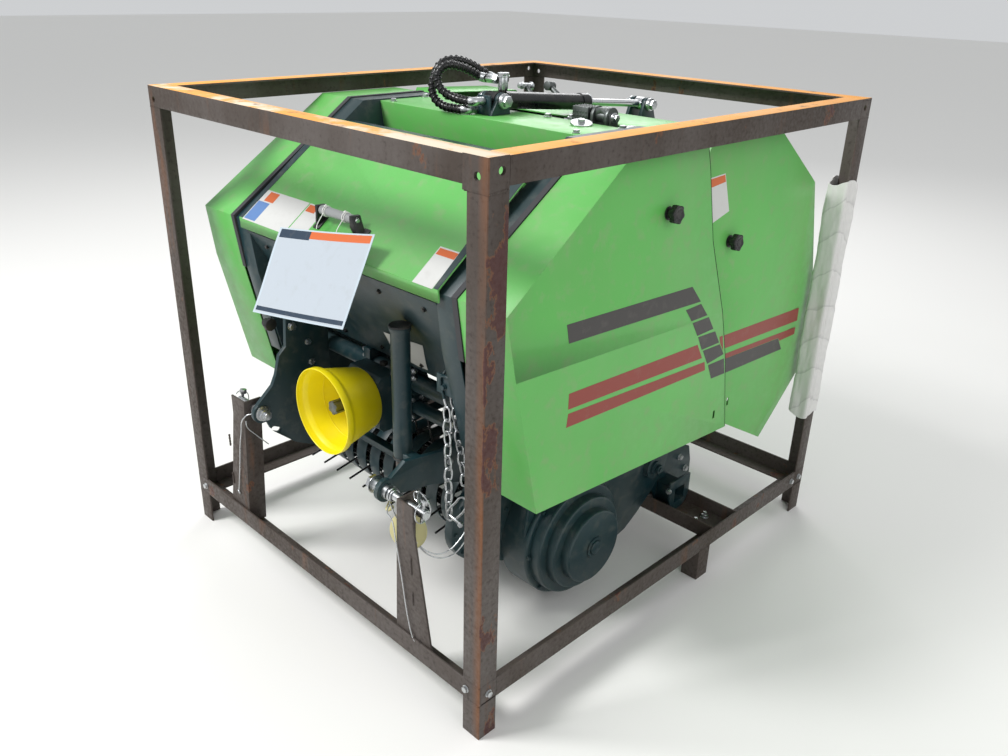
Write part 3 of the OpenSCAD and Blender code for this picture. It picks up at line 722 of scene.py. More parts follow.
    def cut(self, bits: "Form") -> "Form":
        """Cut another form out of this one.

        Args:
            bits: The shapes that are taken away.

        Returns:
            A new form with the holes.
        """
        pair = []
        for name, source in (("wall", self.mesh), ("bits", bits.mesh)):
            data = bpy.data.meshes.new(name)
            source.to_mesh(data)
            source.free()
            pair.append(bpy.data.objects.new(name, data))
            bpy.context.scene.collection.objects.link(pair[-1])
        change = pair[0].modifiers.new("holes", "BOOLEAN")
        change.object, change.solver = pair[1], "EXACT"
        made = bpy.data.meshes.new_from_object(pair[0].evaluated_get(bpy.context.evaluated_depsgraph_get()))
        form = Form()
        form.mesh.from_mesh(made)
        for held in pair:
            bpy.data.objects.remove(held)
        return form

    def piece(
        self, name: str, body: str, stuffs: Sequence[Stuff], slot: str, replaces: Sequence[str] = (),
        smooth: float = SMOOTH_DEG, bend: tuple[str, Point, Point] | None = None,
    ) -> None:
        """Finish the form as a piece of the machine.

        Args:
            name: The piece's name.
            body: The CAD body that it rides on.
            stuffs: Its materials.
            slot: The record's material slot; not used.
            replaces: CAD nodes that it stands for.
            smooth: Edges flatter than this angle are shaded smooth.
            bend: For a piece that crosses a joint: the other body, and where in metres the bend starts and ends. Such a
                piece is left unattached and is not bent.
        """
        move(self.mesh, Matrix.Scale(MM, 4))
        data = bpy.data.meshes.new(name)
        self.mesh.to_mesh(data)
        self.mesh.free()
        made = bpy.data.objects.new(name, data)
        bpy.context.scene.collection.objects.link(made)
        for stuff in stuffs:
            data.materials.append(stuff.value.build())
        data.set_sharp_from_angle(angle=math.radians(smooth))
        if bend:
            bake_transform(made)
        else:
            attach(made, body)
        if replaces:
            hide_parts(*replaces)
        log.info("%s: %d faces on %s", name, len(data.polygons), body)


def coat(stuff: Stuff, *nodes: str) -> None:
    """Give CAD nodes that are shown as they are a finish."""
    for node in nodes:
        data = frame["nodes"][node].data
        data.materials.clear()
        data.materials.append(stuff.value.build())
        log.info("%s: %s", node, stuff.value.name)


def is_panel(face: bmesh.types.BMFace) -> bool:
    """Say whether a face is a flat panel between narrow eased edges, which would shade it unevenly.

    Args:
        face: A face of an eased shape.

    Returns:
        Whether no face that it blends into is a quarter of its size or more.
    """
    area = face.calc_area()
    smooth = [edge for edge in face.edges if edge.calc_face_angle(math.pi) < math.radians(SMOOTH_DEG)]
    return all(near is face or near.calc_area() < 0.25 * area for edge in smooth for near in edge.link_faces)


def eased(
    node: str, stuffs: Sequence[Stuff], radius: float = 1.0, top: float = math.inf, bits: Form | None = None
) -> None:
    """Show a CAD node as a copy whose edges are rounded as bent sheet and rolled bar are.

    Args:
        node: The CAD node that the copy stands for.
        stuffs: Its materials.
        radius: Radius of its edges, in millimetres.
        top: Height above which level faces take the second material.
        bits: Holes that are cut into it.
    """
    record, same_spot, flat_deg, edge_deg = frame["record"], 0.01, 0.6, 24
    part = bmesh.new()
    part.from_mesh(frame["nodes"][node].data)
    move(part, Matrix.Scale(1 / MM, 4))
    bmesh.ops.remove_doubles(part, verts=part.verts, dist=same_spot)
    bmesh.ops.dissolve_limit(part, angle_limit=math.radians(flat_deg), verts=part.verts, edges=part.edges)
    edge = math.radians(edge_deg)
    soften(part, [e for e in part.edges if len(e.link_faces) == 2 and e.calc_face_angle(0) > edge], radius, clamp=True)
    for face in part.faces:
        level = face.normal.z > 0.5 and face.calc_center_median().z > top
        face.material_index, face.smooth = int(level), not is_panel(face)
    form = Form()
    form.join(part)
    if bits:
        form = form.cut(bits)
    body = next(body for body, names in record["behaviour"]["bodies"].items() if node in names)
    slot = next(s["material_slot"] for s in record["subparts"] if s["node"] == node)
    form.piece(node + "_finished", body, stuffs, slot, [node])


# ---------------------------------------------------------------- the crate


@dataclass
class Crate:
    """The welded angle-iron crate that the machine stands in."""

    half_w: float = 600
    half_l: float = 688
    top: float = 1235
    base: float = 92
    leg: float = 50
    t: float = 5
    hole_r: float = 7
    end_hole: Point = (576, 1203)  # across and up, in the rails of both ends
    side_hole: Point = (657, 1212)  # along and up, in the side rails
    sleeve: Point = (540, -640, 1176)  # where the near corner's sleeve ends across, along and below
    sleeve_t: float = 1.2

    def build(self) -> None:
        """Finish the iron and add its corner plates, welds, bolts and wrap."""
        for node in ("crate_posts", "crate_base_rails", "crate_feet", "crate_beams"):
            eased(node, [Stuff.IRON], 0.8)
        bits, (x, z) = Form(), self.end_hole
        for sx, sy in ((1, -1), (1, 1), (-1, -1), (-1, 1)):
            bits.bar((sx * x, sy * (self.half_l + 2), z), (sx * x, sy * (self.half_l - 10), z), self.hole_r, 28, 0)
        eased("crate_top_rails", [Stuff.IRON, Stuff.PRIMER], 0.8, self.top - 2, bits)
        eased("hitch_uprights", [Stuff.IRON], 0.8)
        self.corners()
        self.near_sleeve()
        self.bolts()
        self.welds()
        self.wrap()

    def corners(self) -> None:
        """Add the plates that close the crate's corners above and below."""
        w, l, (hole_y, hole_z), gap = self.half_w, self.half_l, self.side_hole, 0.5
        for name, sx, sy in (("near", 1, -1), ("far", -1, 1), ("left", -1, -1), ("right", 1, 1)):
            form = Form()
            x = sorted((sx * w, sx * (w - self.t)))
            y = sorted((sy * (l - self.t - gap), sy * (l - self.leg)))
            for low, high in ((self.top - self.leg, self.top - self.t - gap), (self.base + gap, self.base + self.leg)):
                form.prism([(y[0], low), (y[1], low), (y[1], high), (y[0], high)], *x, ease=0.7)
            bits = Form()
            bits.bar((sx * (w + 3), sy * hole_y, hole_z), (sx * (w - 9), sy * hole_y, hole_z), self.hole_r, 28, 0)
            form.cut(bits).piece("corner_plates_" + name, "frame", [Stuff.IRON], "crate_steel")

    def near_sleeve(self) -> None:
        """Bend the thin sleeve on the near corner, which ends at a ragged weld."""
        x, y, z = self.sleeve
        w, l, t = self.half_w, self.half_l, self.sleeve_t
        form = Form()
        bent = [(x, -l - t), (w + t, -l - t), (w + t, y), (w, y), (w, -l), (x, -l)]
        form.prism(bent, z, self.top + t, Plane.TOP, 0.4)
        bits = Form()
        (across, up), (along, side_up) = self.end_hole, self.side_hole
        bits.bar((across, -l - 4, up), (across, -l + 6, up), self.hole_r + 1, 28, 0)
        bits.bar((w + 4, -along, side_up), (w - 6, -along, side_up), self.hole_r + 1, 28, 0)
        form.cut(bits).piece("corner_sleeve", "frame", [Stuff.IRON], "crate_steel")

    def bolts(self) -> None:
        """Add the bolts at the base rails' ends and on the cross beam."""
        form = Form()
        w, l = self.half_w, self.half_l
        for x, y, z, way in (
            (560, -l, 118, (0, -1, 0)), (w, -662, 116, (1, 0, 0)), (w, 616, 118, (1, 0, 0)), (w, 660, 118, (1, 0, 0)),
            (-w, 660, 118, (-1, 0, 0)), (-560, -l, 118, (0, -1, 0)), (-w, -662, 118, (-1, 0, 0)),
            (560, l, 118, (0, 1, 0)), (-560, l, 118, (0, 1, 0)),
        ):
            form.bolt((x, y, z), way, 13, 1)
        for x in (-520, 520):
            for y in (228, 274):
                form.bolt((x, y, 103), (0, 0, 1), 17, 1, 8)
        form.piece("crate_bolts", "frame", [Stuff.IRON, Stuff.ZINC], "bright_steel")

    def welds(self) -> None:
        """Add the beads where posts, rails, feet and uprights are welded."""
        form = Form()
        w, l, (sleeve_x, sleeve_y, sleeve_z) = self.half_w - 1.5, self.half_l - 1.5, self.sleeve
        for sx in (1, -1):
            for sy in (1, -1):
                for z in (self.base + self.leg, self.top - self.leg, self.base):
                    form.bead((sx * w, sy * l, z), (sx * (w - self.leg + 3), sy * l, z), 2.6)
                    form.bead((sx * w, sy * l, z), (sx * w, sy * (l - self.leg + 3), z), 2.6)
            form.bead((sx * w, 132, self.base), (sx * w, 182, self.base), 2.8)
            for y in (190, 312):
                form.bead((sx * (w - 6), y, 99), (sx * (w - 6), y, 138), 3)
        form.bead((w + 1, -l, sleeve_z), (w + 1, sleeve_y - 2, sleeve_z + 4), 3)
        form.bead((w, -l - 0.5, sleeve_z), (sleeve_x + 5, -l - 0.5, sleeve_z), 2.4)
        # Along the slanted edges of the hitch's uprights: across at the lower end, low, high
        for x, low, high in ((378, 312, 352), (381, 232, 262), (384, 120, 150), (-390, 320, 350), (-394, 200, 230)):
            form.bead((x, -683.5, low), (x - 0.04 * (high - low), -683.5, high), 3)
        for x in (350, -355):
            form.bead((x - 28, -681.5, 99), (x + 40, -681.5, 99), 2.8)
        form.piece("crate_welds", "frame", [Stuff.IRON], "crate_steel")

    def wrap(self) -> None:
        """Wind the packing film round the rear post: a soft square tube with creases."""
        part = bmesh.new()
        half, low, high, frayed = 29.0, 331.0, 1019.0, 40
        bmesh.ops.create_cube(part, size=1, matrix=Matrix.Translation((0, 0, 0.5)))
        move(part, Matrix.Diagonal((2 * half, 2 * half, high - low, 1)))
        soften(part, rising(part, 1), 9, 4)
        ends = [f for f in part.faces if abs(f.normal.z) > 0.9]
        bmesh.ops.delete(part, geom=ends, context="FACES_ONLY")
        bmesh.ops.subdivide_edges(part, edges=rising(part, 1), cuts=70, use_grid_fill=True)
        long = [e for e in part.edges if e.calc_length() > 18]
        bmesh.ops.subdivide_edges(part, edges=long, cuts=11, use_grid_fill=True)
        for v in part.verts:
            out = Vector((v.co.x, v.co.y, 0)).normalized()
            turn = math.atan2(v.co.y, v.co.x)
            end = min(v.co.z, high - low - v.co.z)
            crease = math.sin(v.co.z * 0.021 + turn * 2.0)
            fold = wander.noise(Vector((v.co.x * 0.05, v.co.y * 0.05, v.co.z * 0.012)))
            small = wander.noise(Vector((v.co.x * 0.11, v.co.y * 0.11, v.co.z * 0.05)))
            # The film's loose end leaves a groove down the corner that faces the camera
            groove = math.exp(-(((turn + 0.62) / 0.13) ** 2))
            v.co += out * (crease + 2.4 * fold + 1.3 * small - 0.6 - 5.5 * groove)
            if end < frayed:
                v.co.z += (1 - end / frayed) * 9 * math.sin(turn * 2 + (1.0 if v.co.z < frayed else 2.4))
        bmesh.ops.recalc_face_normals(part, faces=part.faces)
        bmesh.ops.solidify(part, geom=part.faces[:], thickness=3)
        move(part, Matrix.Translation((self.half_w - self.leg / 2, self.half_l - self.leg / 2, low)))
        form = Form()
        form.take(part)
        form.piece("post_wrap", "frame", [Stuff.FOAM], "foam", ["post_sleeve"], 70)


# ---------------------------------------------------------------- covers and hood


@dataclass
class Face:
    """The outer face of a boxed cover: flat up to its crease, leaning inward above it."""

    x: float
    crease: float  # its height at the middle of the machine
    tilt: float  # the crease's angle, in degrees
    lean: float = 0.06

    def place(self, y: float, z: float, proud: float) -> Vector:
        """Give the point of the face at that height and length.

        Args:
            y: Place along the machine.
            z: Height.
            proud: Distance off the face.

        Returns:
            The point, on the machine's left side.
        """
        turn = math.radians(self.tilt)
        above = max(0.0, (z - self.crease) * math.cos(turn) - y * math.sin(turn))
        return Vector((self.x - self.lean * above + proud, y, z))


@dataclass
class Covers:
    """The green side covers, with their keyholes, knobs, stripes and one blank label."""

    front: Face = field(default_factory=lambda: Face(567, 773, -2.3))
    gate: Face = field(default_factory=lambda: Face(540, 835, 2.9))
    # Stripes as [along, up] corners: dark over red on the front, carried on by red and dark on the tailgate
    front_dark: Sequence[Sequence[Point]] = (
        ((-429, 878), (5, 862), (44, 818), (-422, 837)),
        ((-16, 811), (46, 812), (76, 777), (10, 778)),
        ((15, 772), (83, 771), (110, 734), (42, 733)),
        ((46, 729), (120, 725), (145, 689), (69, 690)),
        ((75, 686), (150, 683), (174, 650), (102, 644)),
        ((107, 639), (179, 637), (190, 593), (129, 596)),
    )
    front_red: Sequence[Sequence[Point]] = (
        ((-416, 726), (48, 709), (75, 667), (-416, 690)), ((-415, 680), (89, 653), (96, 629), (-419, 649)),
        ((144, 704), (158, 704), (170, 660), (150, 687)),
    )
    gate_red: Sequence[Sequence[Point]] = (
        ((200, 683), (600, 665), (602, 626), (212, 644)),
        ((219, 628), (599, 607), (598, 586), (515, 587), (505, 598), (226, 613)),
    )
    gate_dark: Sequence[Sequence[Point]] = (((218, 613), (505, 597), (533, 557), (228, 570)),)
    label: Sequence[Point] = ((74, 1092), (147, 1096), (174, 1005), (107, 987))
    seam: Sequence[Point] = ((30, 1190), (48, 1118), (78, 954), (143, 767), (183, 642), (230, 428))

    def build(self) -> None:
        """Finish the covers, lay their film and draw a thin dark line of painted shadow along the seam."""
        for side, name in ((1, "left"), (-1, "right")):
            for node, x, y, z in (("side_cover_", self.front.x, 166, 484), ("gate_cover_", self.gate.x, 275, 476)):
                bits = Form()
                keyhole = [(y - 4.5, z - 11), (y + 4.5, z - 11), (y + 4.5, z + 11), (y - 4.5, z + 11)]
                bits.prism(keyhole, side * (x - 12), side * (x + 6))
                eased(node + name, [Stuff.GREEN], 1.8, bits=bits)
            self.stripes(side, name)
        self.blank_label()
        coat(Stuff.RUBBER, "cover_seals")
        # A thin black bar along the seam between the front cover and the tailgate is painted shadow
        form = Form()
        for side in (1, -1):
            dots = [self.front.place(y + 0.6, z, -1.6) for y, z in self.seam]
            for a, b in zip(dots, dots[1:]):
                form.bar((side * a.x, a.y, a.z), (side * b.x, b.y, b.z), 2.0, 10, 0)
        form.piece("seam_shadow_line", "frame", [Stuff.SEAM_SHADOW], "black_rubber")
        self.knobs()

    def film(self, form: Form, face: Face, corners: Sequence[Point], side: int, stuff: int, proud: float = 0.3) -> None:
        """Lay one patch of film on a face.

        Args:
            form: The form that it joins.
            face: The cover's face.
            corners: Its corners as [along, up].
            side: 1 on the left, -1 on the right.
            stuff: Number of its material.
            proud: Distance off the face.
        """
        part, film_t = bmesh.new(), 0.28
        dots = [face.place(y, z, proud) for y, z in corners]
        for dot in dots:
            dot.x *= side
        part.faces.new([part.verts.new(dot) for dot in dots])
        thicken(part, (-film_t * side, 0, 0))
        form.take(part, stuff)

    def stripes(self, side: int, name: str) -> None:
        """Lay the stripes of one side.

        Args:
            side: 1 on the left, -1 on the right.
            name: The side's name.
        """
        for cover, body, face, film in (
            ("front", "frame", self.front, ((self.front_dark, 0), (self.front_red, 1))),
            ("gate", "tailgate", self.gate, ((self.gate_red, 1), (self.gate_dark, 0))),
        ):
            form = Form()
            for patches, stuff in film:
                for corners in patches:
                    self.film(form, face, corners, side, stuff)
            form.piece(f"{cover}_stripes_{name}", body, [Stuff.STRIPE_DARK, Stuff.STRIPE_RED], "green_paint")

    def blank_label(self) -> None:
        """Lay the tall blank label with its plain orange band on the left side of the tailgate."""
        form = Form()
        self.film(form, self.gate, self.label, 1, 0)
        a, b, c, d = (Vector((*p, 0)) for p in self.label)
        rim, low = 0.03, 0.22  # shares of the label
        band = [
            a.lerp(d, rim).lerp(b, rim), b.lerp(c, rim).lerp(a, rim),
            b.lerp(c, low).lerp(a, rim), a.lerp(d, low).lerp(b, rim),
        ]
        self.film(form, self.gate, [p[:2] for p in band], 1, 1, 0.55)
        form.piece("gate_label", "tailgate", [Stuff.WHITE_FILM, Stuff.ORANGE_FILM], "card")

    def knobs(self) -> None:
        """Shape the star knobs: a dished grip with six lobes on its collar and stud."""
        grip = [(0, 28), (8, 28), (10, 26.5), (15.5, 28.5), (18, 26), (18.5, 20), (15, 14), (0, 13)]
        for node, body, x, y, z in (
            ("cover_knobs", "frame", 551, -104, 1047), ("gate_knobs", "tailgate", 535.5, 185, 931),
        ):
            form = Form()
            for side in (1, -1):
                way = Vector((side, 0, 0.06)).normalized()
                foot = Vector((side * x, y, z))
                form.bar(foot, foot + way * 3, 15, 28, 0.5)
                form.bar(foot + way * 3, foot + way * 16, 11.5, 28, 0.8)
                form.lathe(grip, foot, way, 36)
                up = way.orthogonal().normalized()
                for i in range(6):
                    spoke = Matrix.Rotation(math.tau * i / 6, 3, way) @ up
                    form.bar(foot + spoke * 15 + way * 13.5, foot + spoke * 15 + way * 27.5, 6.4, 16, 1.8)
            form.piece(node + "_moulded", body, [Stuff.BLACK_PLASTIC], "black_plastic", [node])


@dataclass
class Hood:
    """The hood over the chamber's front, with its handle, stickers and hanging card."""

    reach: Point = (-600, 938)  # its front edge, along and up
    rise: float = 0.771  # slope of its upper face
    handle_y: float = -556
    handle_z: float = 1006
    card_size: Point = (354, 209)

    def on(self, x: float, y: float, proud: float) -> Vector:
        """Give the point of the hood's upper face at x and y."""
        return Vector((x, y, self.reach[1] + (y - self.reach[0]) * self.rise + proud))

    def build(self) -> None:
        """Finish the hood and what it carries."""
        eased("hood", [Stuff.GREEN], 1.2)
        eased("hood_hinge", [Stuff.DARK], 0.6)
        self.strips()
        self.stickers()
        self.handle()
        self.card()

    def patch(self, form: Form, corners: Sequence[Point], proud: float, stuff: int) -> None:
        """Lay a thin patch on the hood.

        Args:
            form: The form that it joins.
            corners: Its corners as [across, along].
            proud: Height of its face off the hood.
            stuff: Number of its material.
        """
        part = bmesh.new()
        part.faces.new([part.verts.new(self.on(x, y, proud)) for x, y in corners])
        thicken(part, (0, 0, 0.02 - proud))
        form.take(part, stuff)

    def strips(self) -> None:
        """Lay the dark flange that shows along each side of the hood."""
        form = Form()
        for side in (1, -1):
            self.patch(form, [(side * x, y) for x, y in ((373, -599), (360, -599), (344, -338), (373, -338))], 0.9, 0)
        form.piece("hood_side_flanges", "hood", [Stuff.DARK], "dark_paint")

    def stickers(self) -> None:
        """Lay the blank white stickers, each with a plain orange band, and the blue painted shadow of a crate post on
        the left one.
        """
        form = Form()
        # Columns: left, right, front and back edge, height off the hood in mm, number of the film
        for x0, x1, y0, y1, proud, stuff in (
            # The patch with film number 2 is the painted shadow of a crate post on the left sticker
            (-358, -174, -601, -523, 0.35, 0), (-338, -298, -549, -526, 0.6, 1), (-355, -306, -598, -552, 0.6, 2),
            (-170, -104, -601, -523, 0.35, 0), (-167, -132, -542, -526, 0.6, 1),
            (297, 358, -601, -525, 0.35, 0), (300, 355, -541, -528, 0.6, 1),
        ):
            self.patch(form, ((x0, y0), (x1, y0), (x1, y1), (x0, y1)), proud, stuff)
        form.piece("hood_stickers_and_post_shadow", "hood", [Stuff.WHITE_FILM, Stuff.ORANGE_FILM, Stuff.POST_SHADOW_FILM], "card")

    def handle(self) -> None:
        """Shape the grip: grey tube between two black straps, with the card's white ties."""
        form = Form()
        y, z = self.handle_y, self.handle_z
        form.bar((-74, y, z), (44, y, z), 10.5, 36, 1.0, stuff=1)
        form.bar((-80, y, z), (50, y, z), 5, 16, 0.5, stuff=0)
        for x, lean in ((-80, -6), (50, 22)):
            # Each strap is a flat bar that spreads to its foot on the hood
            side = 1 if x > 0 else -1
            strap = [(x - 5, z + 11), (x + 5, z + 11), (x + 5 + lean, z - 40), (x - 2 + lean, z - 43), (x - 5, z - 14)]
            form.prism(strap, y - 12, y + 12, Plane.FRONT, 1.6)
            foot = [(y - 14, z - 44), (y + 16, z - 21), (y + 16, z - 17), (y - 14, z - 40)]
            form.prism(foot, x + lean - 9, x + lean + 14, ease=1.0)
            form.bolt((x + side * 5, y, z), (side, 0, 0), 10, 3)
        for x in (-56, 18):
            form.ring((x, y, z), (1, 0, 0), 11.6, 1.3, 32, 2)
            form.ring((x + 5, y, z), (1, 0.1, 0), 11.6, 1.1, 32, 2)
            tie = [(x + 3, y - 11, z - 2), (x + 2, y - 20, z - 14), (x, y - 27, z - 26), (x + 3, y - 32, z - 35)]
            form.tube(tie, 1.1, 2)
            form.block((x + 2, y - 4, z + 13), (5, 6, 4), (20, 0, 0), 0.5, 2)
        form.piece(
            "hood_handle_grip", "hood", [Stuff.BLACK_PLASTIC, Stuff.GREY_PLASTIC, Stuff.WHITE_TIE, Stuff.ZINC],
            "black_plastic", ["hood_handle"],
        )

    def card(self) -> None:
        """Bend the blank laminated card that hangs over the hood's edge, with its plain bands."""
        w, h = self.card_size
        part = bmesh.new()
        bmesh.ops.create_grid(part, x_segments=50, y_segments=60, size=0.5)
        move(part, Matrix.Diagonal((w, h, 1, 1)))
        # Columns: left and right edge, low and high edge as shares of the card; number of the film
        bands = (
            (0.02, 0.34, 0.88, 0.985, 1), (0.34, 0.98, 0.9, 0.985, 2), (0.02, 0.98, 0.03, 0.09, 1),
            (0.02, 0.98, 0.02, 0.98, 0),
        )
        clear_edge = 3
        for face in part.faces:
            at = face.calc_center_median()
            u, v = at.x / w + 0.5, at.y / h + 0.5
            face.material_index = next((s for a, b, c, d, s in bands if a < u < b and c < v < d), clear_edge)
            face.smooth = True
        for v in part.verts:
            u = v.co.x / w + 0.5
            v.co.z = 7 * (u - 0.35) ** 2 * 4 + 2.5 * math.sin(v.co.y * 0.02) * (1 - u) - 2
        bmesh.ops.solidify(part, geom=part.faces[:], thickness=1.0)
        # The grid's up becomes the card's face, towards the hitch
        move(part, pose((6.5, -646, 887.5), (-33, -8.2, 2.5)) @ Matrix.Rotation(math.radians(90), 4, "X"))
        bmesh.ops.recalc_face_normals(part, faces=part.faces)
        form = Form()
        form.join(part)
        form.piece(
            "hanging_card", "hood", [Stuff.CARD_FILM, Stuff.NAVY_FILM, Stuff.ORANGE_FILM, Stuff.CLEAR_EDGE], "card",
            ["hang_tag"], 50,
        )


# ---------------------------------------------------------------- top gear


@dataclass
class Cylinder:
    """The tailgate's hydraulic cylinder with its pins, fittings and guarded hoses."""

    front: Point = (-90, 1221)  # its pins, along and up
    rear: Point = (507, 1170)
    hose_r: float = 9.0
    still: Point = (0, -0.146, 1.222)  # metres; the hoses' ends on the clevis
    moving: Point = (0, -0.1148, 1.2844)  # where the hoses would start to follow the barrel; the piece is not bent at the joint
    wind_mm: float = 12.0  # one turn of the guard's strip
    wind_steps: int = 8

    def build(self) -> None:
        """Finish the cylinder and its hoses."""
        coat(Stuff.BLACK_PAINT, "cylinder_barrel")
        coat(Stuff.CHROME, "cylinder_rod")
        coat(Stuff.ZINC, "hose_ends")
        eased("cylinder_clevis", [Stuff.DARK], 1.0)
        eased("rod_bracket", [Stuff.DARK], 1.0)
        self.pins()
        self.fittings()
        self.hoses()

    def pins(self) -> None:
        """Add the bright heads of the cylinder's two pins."""
        for name, body, at in (("front_pin_heads", "frame", self.front), ("rear_pin_heads", "tailgate", self.rear)):
            form = Form()
            base = 30.5 if body == "frame" else 28.5
            form.bar((base, *at), (base + 8, *at), 18, 36, 0.8)
            form.bolt((base + 8, *at), (1, 0, 0), 25)
            form.bar((-base, *at), (-base - 8, *at), 18, 36, 0.8)
            form.bolt((-base - 7, *at), (-1, 0, 0), 22, tail=6)
            form.piece(name, body, [Stuff.ZINC], "bright_steel")

    def fittings(self) -> None:
        """Add the banjo bolts, their unions, the gland's rings, the coupler and the plug on the barrel."""
        form = Form()
        form.bolt((0, -66, 1273), (0, 0, 1), 19)
        form.bolt((-29, -24, 1269.5), (0, 0, 1), 17)
        form.bar((-9, -66, 1266), (-47, -66, 1266), 11.5, 6, 0.8)
        form.bar((-38, -24, 1262), (-62, -24, 1262), 10.5, 6, 0.8)
        front, rear = Vector((0, *self.front)), Vector((0, *self.rear))
        for share, radius, wire in ((0.587, 21.5, 1.6), (0.56, 21.3, 1.2)):
            form.ring(front.lerp(rear, share), rear - front, radius, wire, 48)
        form.bar((0, -66, 1243), (0, -66, 1274), 8.8, 28, 0.6)
        form.bar((-29, -24, 1240), (-29, -24, 1270), 7, 28, 0.6)
        # Coupler and plug, each on a stub that is brazed to the barrel
        form.bar((-14.4, 66, 1214), (-44, 66, 1241), 6.5, 24, 0.8, stuff=1)
        form.bar((-15, 172, 1205.4), (-56, 172, 1233), 7.5, 24, 0.8, stuff=1)
        form.bar((-44, 41, 1243), (-44, 84, 1239), 7, 28, 0.8)
        form.bar((-44, 84, 1239), (-44, 89, 1238.6), 10, 28, 0.8)
        form.bar((-44, 48, 1242.4), (-44, 56, 1241.6), 9, 6, 0.6)
        form.bar((-56, 160, 1234), (-56, 184, 1232), 12, 32, 1.2, stuff=1)
        form.bar((-56, 184, 1232), (-56, 190, 1231.5), 8, 6, 0.6, stuff=1)
        form.piece("cylinder_fittings", "cylinder_barrel", [Stuff.ZINC, Stuff.CAST], "bright_steel")

    def hoses(self) -> None:
        """Sweep the hoses and wind their spiral guards."""
        routes = (
            ((-51, -66, 1266), (-60, -66, 1266), (-68, -76, 1269), (-72, -100, 1281), (-78, -134, 1294),
             (-89, -162, 1298), (-99, -180, 1286), (-101, -186, 1264), (-92, -182, 1243), (-70, -174, 1230),
             (-40, -168, 1223), (-12, -164, 1221), (0, -156, 1221), (0, -146, 1221)),
            ((-63, -24, 1262), (-72, -24, 1262), (-82, -34, 1268), (-90, -60, 1285), (-101, -92, 1301),
             (-114, -124, 1307), (-127, -150, 1298), (-133, -168, 1270), (-132, -176, 1242), (-120, -178, 1218),
             (-96, -172, 1203), (-62, -168, 1200), (-36, -166, 1200), (-24, -158, 1200), (-24, -146, 1200)),
        )
        form = Form()
        for route in routes:
            form.tube(route, self.hose_r, 0, sides=5)
            form.tube(route[:3], self.hose_r + 2.2, 1, sides=5)
            form.tube(route[-3:], self.hose_r + 1.8, 1, sides=5)
            self.spiral(form, route[2:-2])
        form.piece(
            "hydraulic_hoses", "frame", [Stuff.SPIRAL, Stuff.ZINC], "black_rubber", ["hoses"], 60,
            ("cylinder_barrel", self.still, self.moving),
        )

    def spiral(self, form: Form, route: Sequence[Point]) -> None:
        """Wind the guard's strip round a hose.

        Args:
            form: The form that it joins.
            route: The hose's points.
        """
        made = smooth_line(route, 6)
        dots = [v.co.copy() for v in made.vertices]
        bpy.data.meshes.remove(made)
        lengths = [0.0]
        for a, b in zip(dots, dots[1:]):
            lengths.append(lengths[-1] + (b - a).length)
        steps = int(lengths[-1] / self.wind_mm * self.wind_steps)
        winding, side, k = [], Vector((0, 0, 1)), 1
        for i in range(steps + 1):
            s = lengths[-1] * i / steps
            while lengths[k] < s - 1e-6:
                k += 1
            way = (dots[k] - dots[k - 1]).normalized()
            at = dots[k - 1].lerp(dots[k], (s - lengths[k - 1]) / (lengths[k] - lengths[k - 1]))
            side = (side - way * side.dot(way)).normalized()
            turn = Matrix.Rotation(math.tau * i / self.wind_steps, 3, way)
            winding.append(at + (turn @ side) * (self.hose_r - 0.4))
        form.tube(winding, 2.8, sides=2, fine=2)


@dataclass
class TwineDrive:
    """The knotter drive on the chamber's top: cast block, fork, twine wheel and their fasteners."""

    def build(self) -> None:
        """Finish the castings and the top plate, and add their bolts, a spring, the twine wheel and the arch."""
        eased("twine_drive", [Stuff.CAST], 1.0)
        eased("top_plate", [Stuff.GREEN], 1.0)
        form = Form()
        # Columns: across, along, height, size
        for *at, size in (
            (122, 6, 1164, 13), (122, 80, 1164, 13), (266, 6, 1164, 13), (266, 80, 1164, 13), (-346, -19, 1188, 15),
            (-115, -19, 1188, 15), (115, -19, 1188, 15), (346, -19, 1188, 15), (-320, -150, 1188, 13),
            (320, -150, 1188, 13),
        ):
            form.bolt(at, (0, 0, 1), size)
        form.bar((264, 45, 1198), (272, 45, 1198), 12, 32, 0.8)
        form.bolt((272, 45, 1198), (1, 0, 0), 15)
        form.bolt((134, 45, 1176.5), (0, 0, 1), 17, tail=5)
        form.ring((134, 45, 1178), (0, 0, 1), 17, 1.6)
        coil = [(214 + i * 0.5, 8 + 5 * math.cos(i * 0.9), 1176 + 5 * math.sin(i * 0.9)) for i in range(50)]
        form.tube(coil, 1.1)
        form.lathe([(7, 0), (25, 0), (26, 1), (26, 4), (25, 5), (7, 5), (7, 0)], (252, -54, 1190), (0.15, -0.1, 1), 40)
        form.bolt((252, -54, 1194), (0.15, -0.1, 1), 15)
        form.block((252, 122, 1166), (24, 60, 5), (0, 0, 6))
        form.piece("top_bolts", "frame", [Stuff.ZINC], "bright_steel")
        form = Form()
        # Cast arch over the shaft between the fork plates
        outer = [about(31, a) for a in range(0, 181, 12)]
        inner = [about(18, 180 - a) for a in range(0, 181, 12)]
        arch = [(270, 1165), *((239 + x, 1189 + z) for x, z in outer), (208, 1165), (221, 1165)]
        arch += [*((239 + x, 1189 + z) for x, z in inner), (257, 1165)]
        form.prism(arch, 30, 60, Plane.FRONT, 1.2)
        for row in range(4):
            for col in range(5):
                form.block((163 + col * 9.5, 21.6, 1178 + row * 9), (5, 2, 4.5), ease=0.5)
                form.block((163 + col * 9.5, 29 + row * 10.5, 1216.8), (5, 5, 2), ease=0.5)
        form.piece("cast_arch", "frame", [Stuff.CAST], "bright_steel")


# ---------------------------------------------------------------- hitch and drive


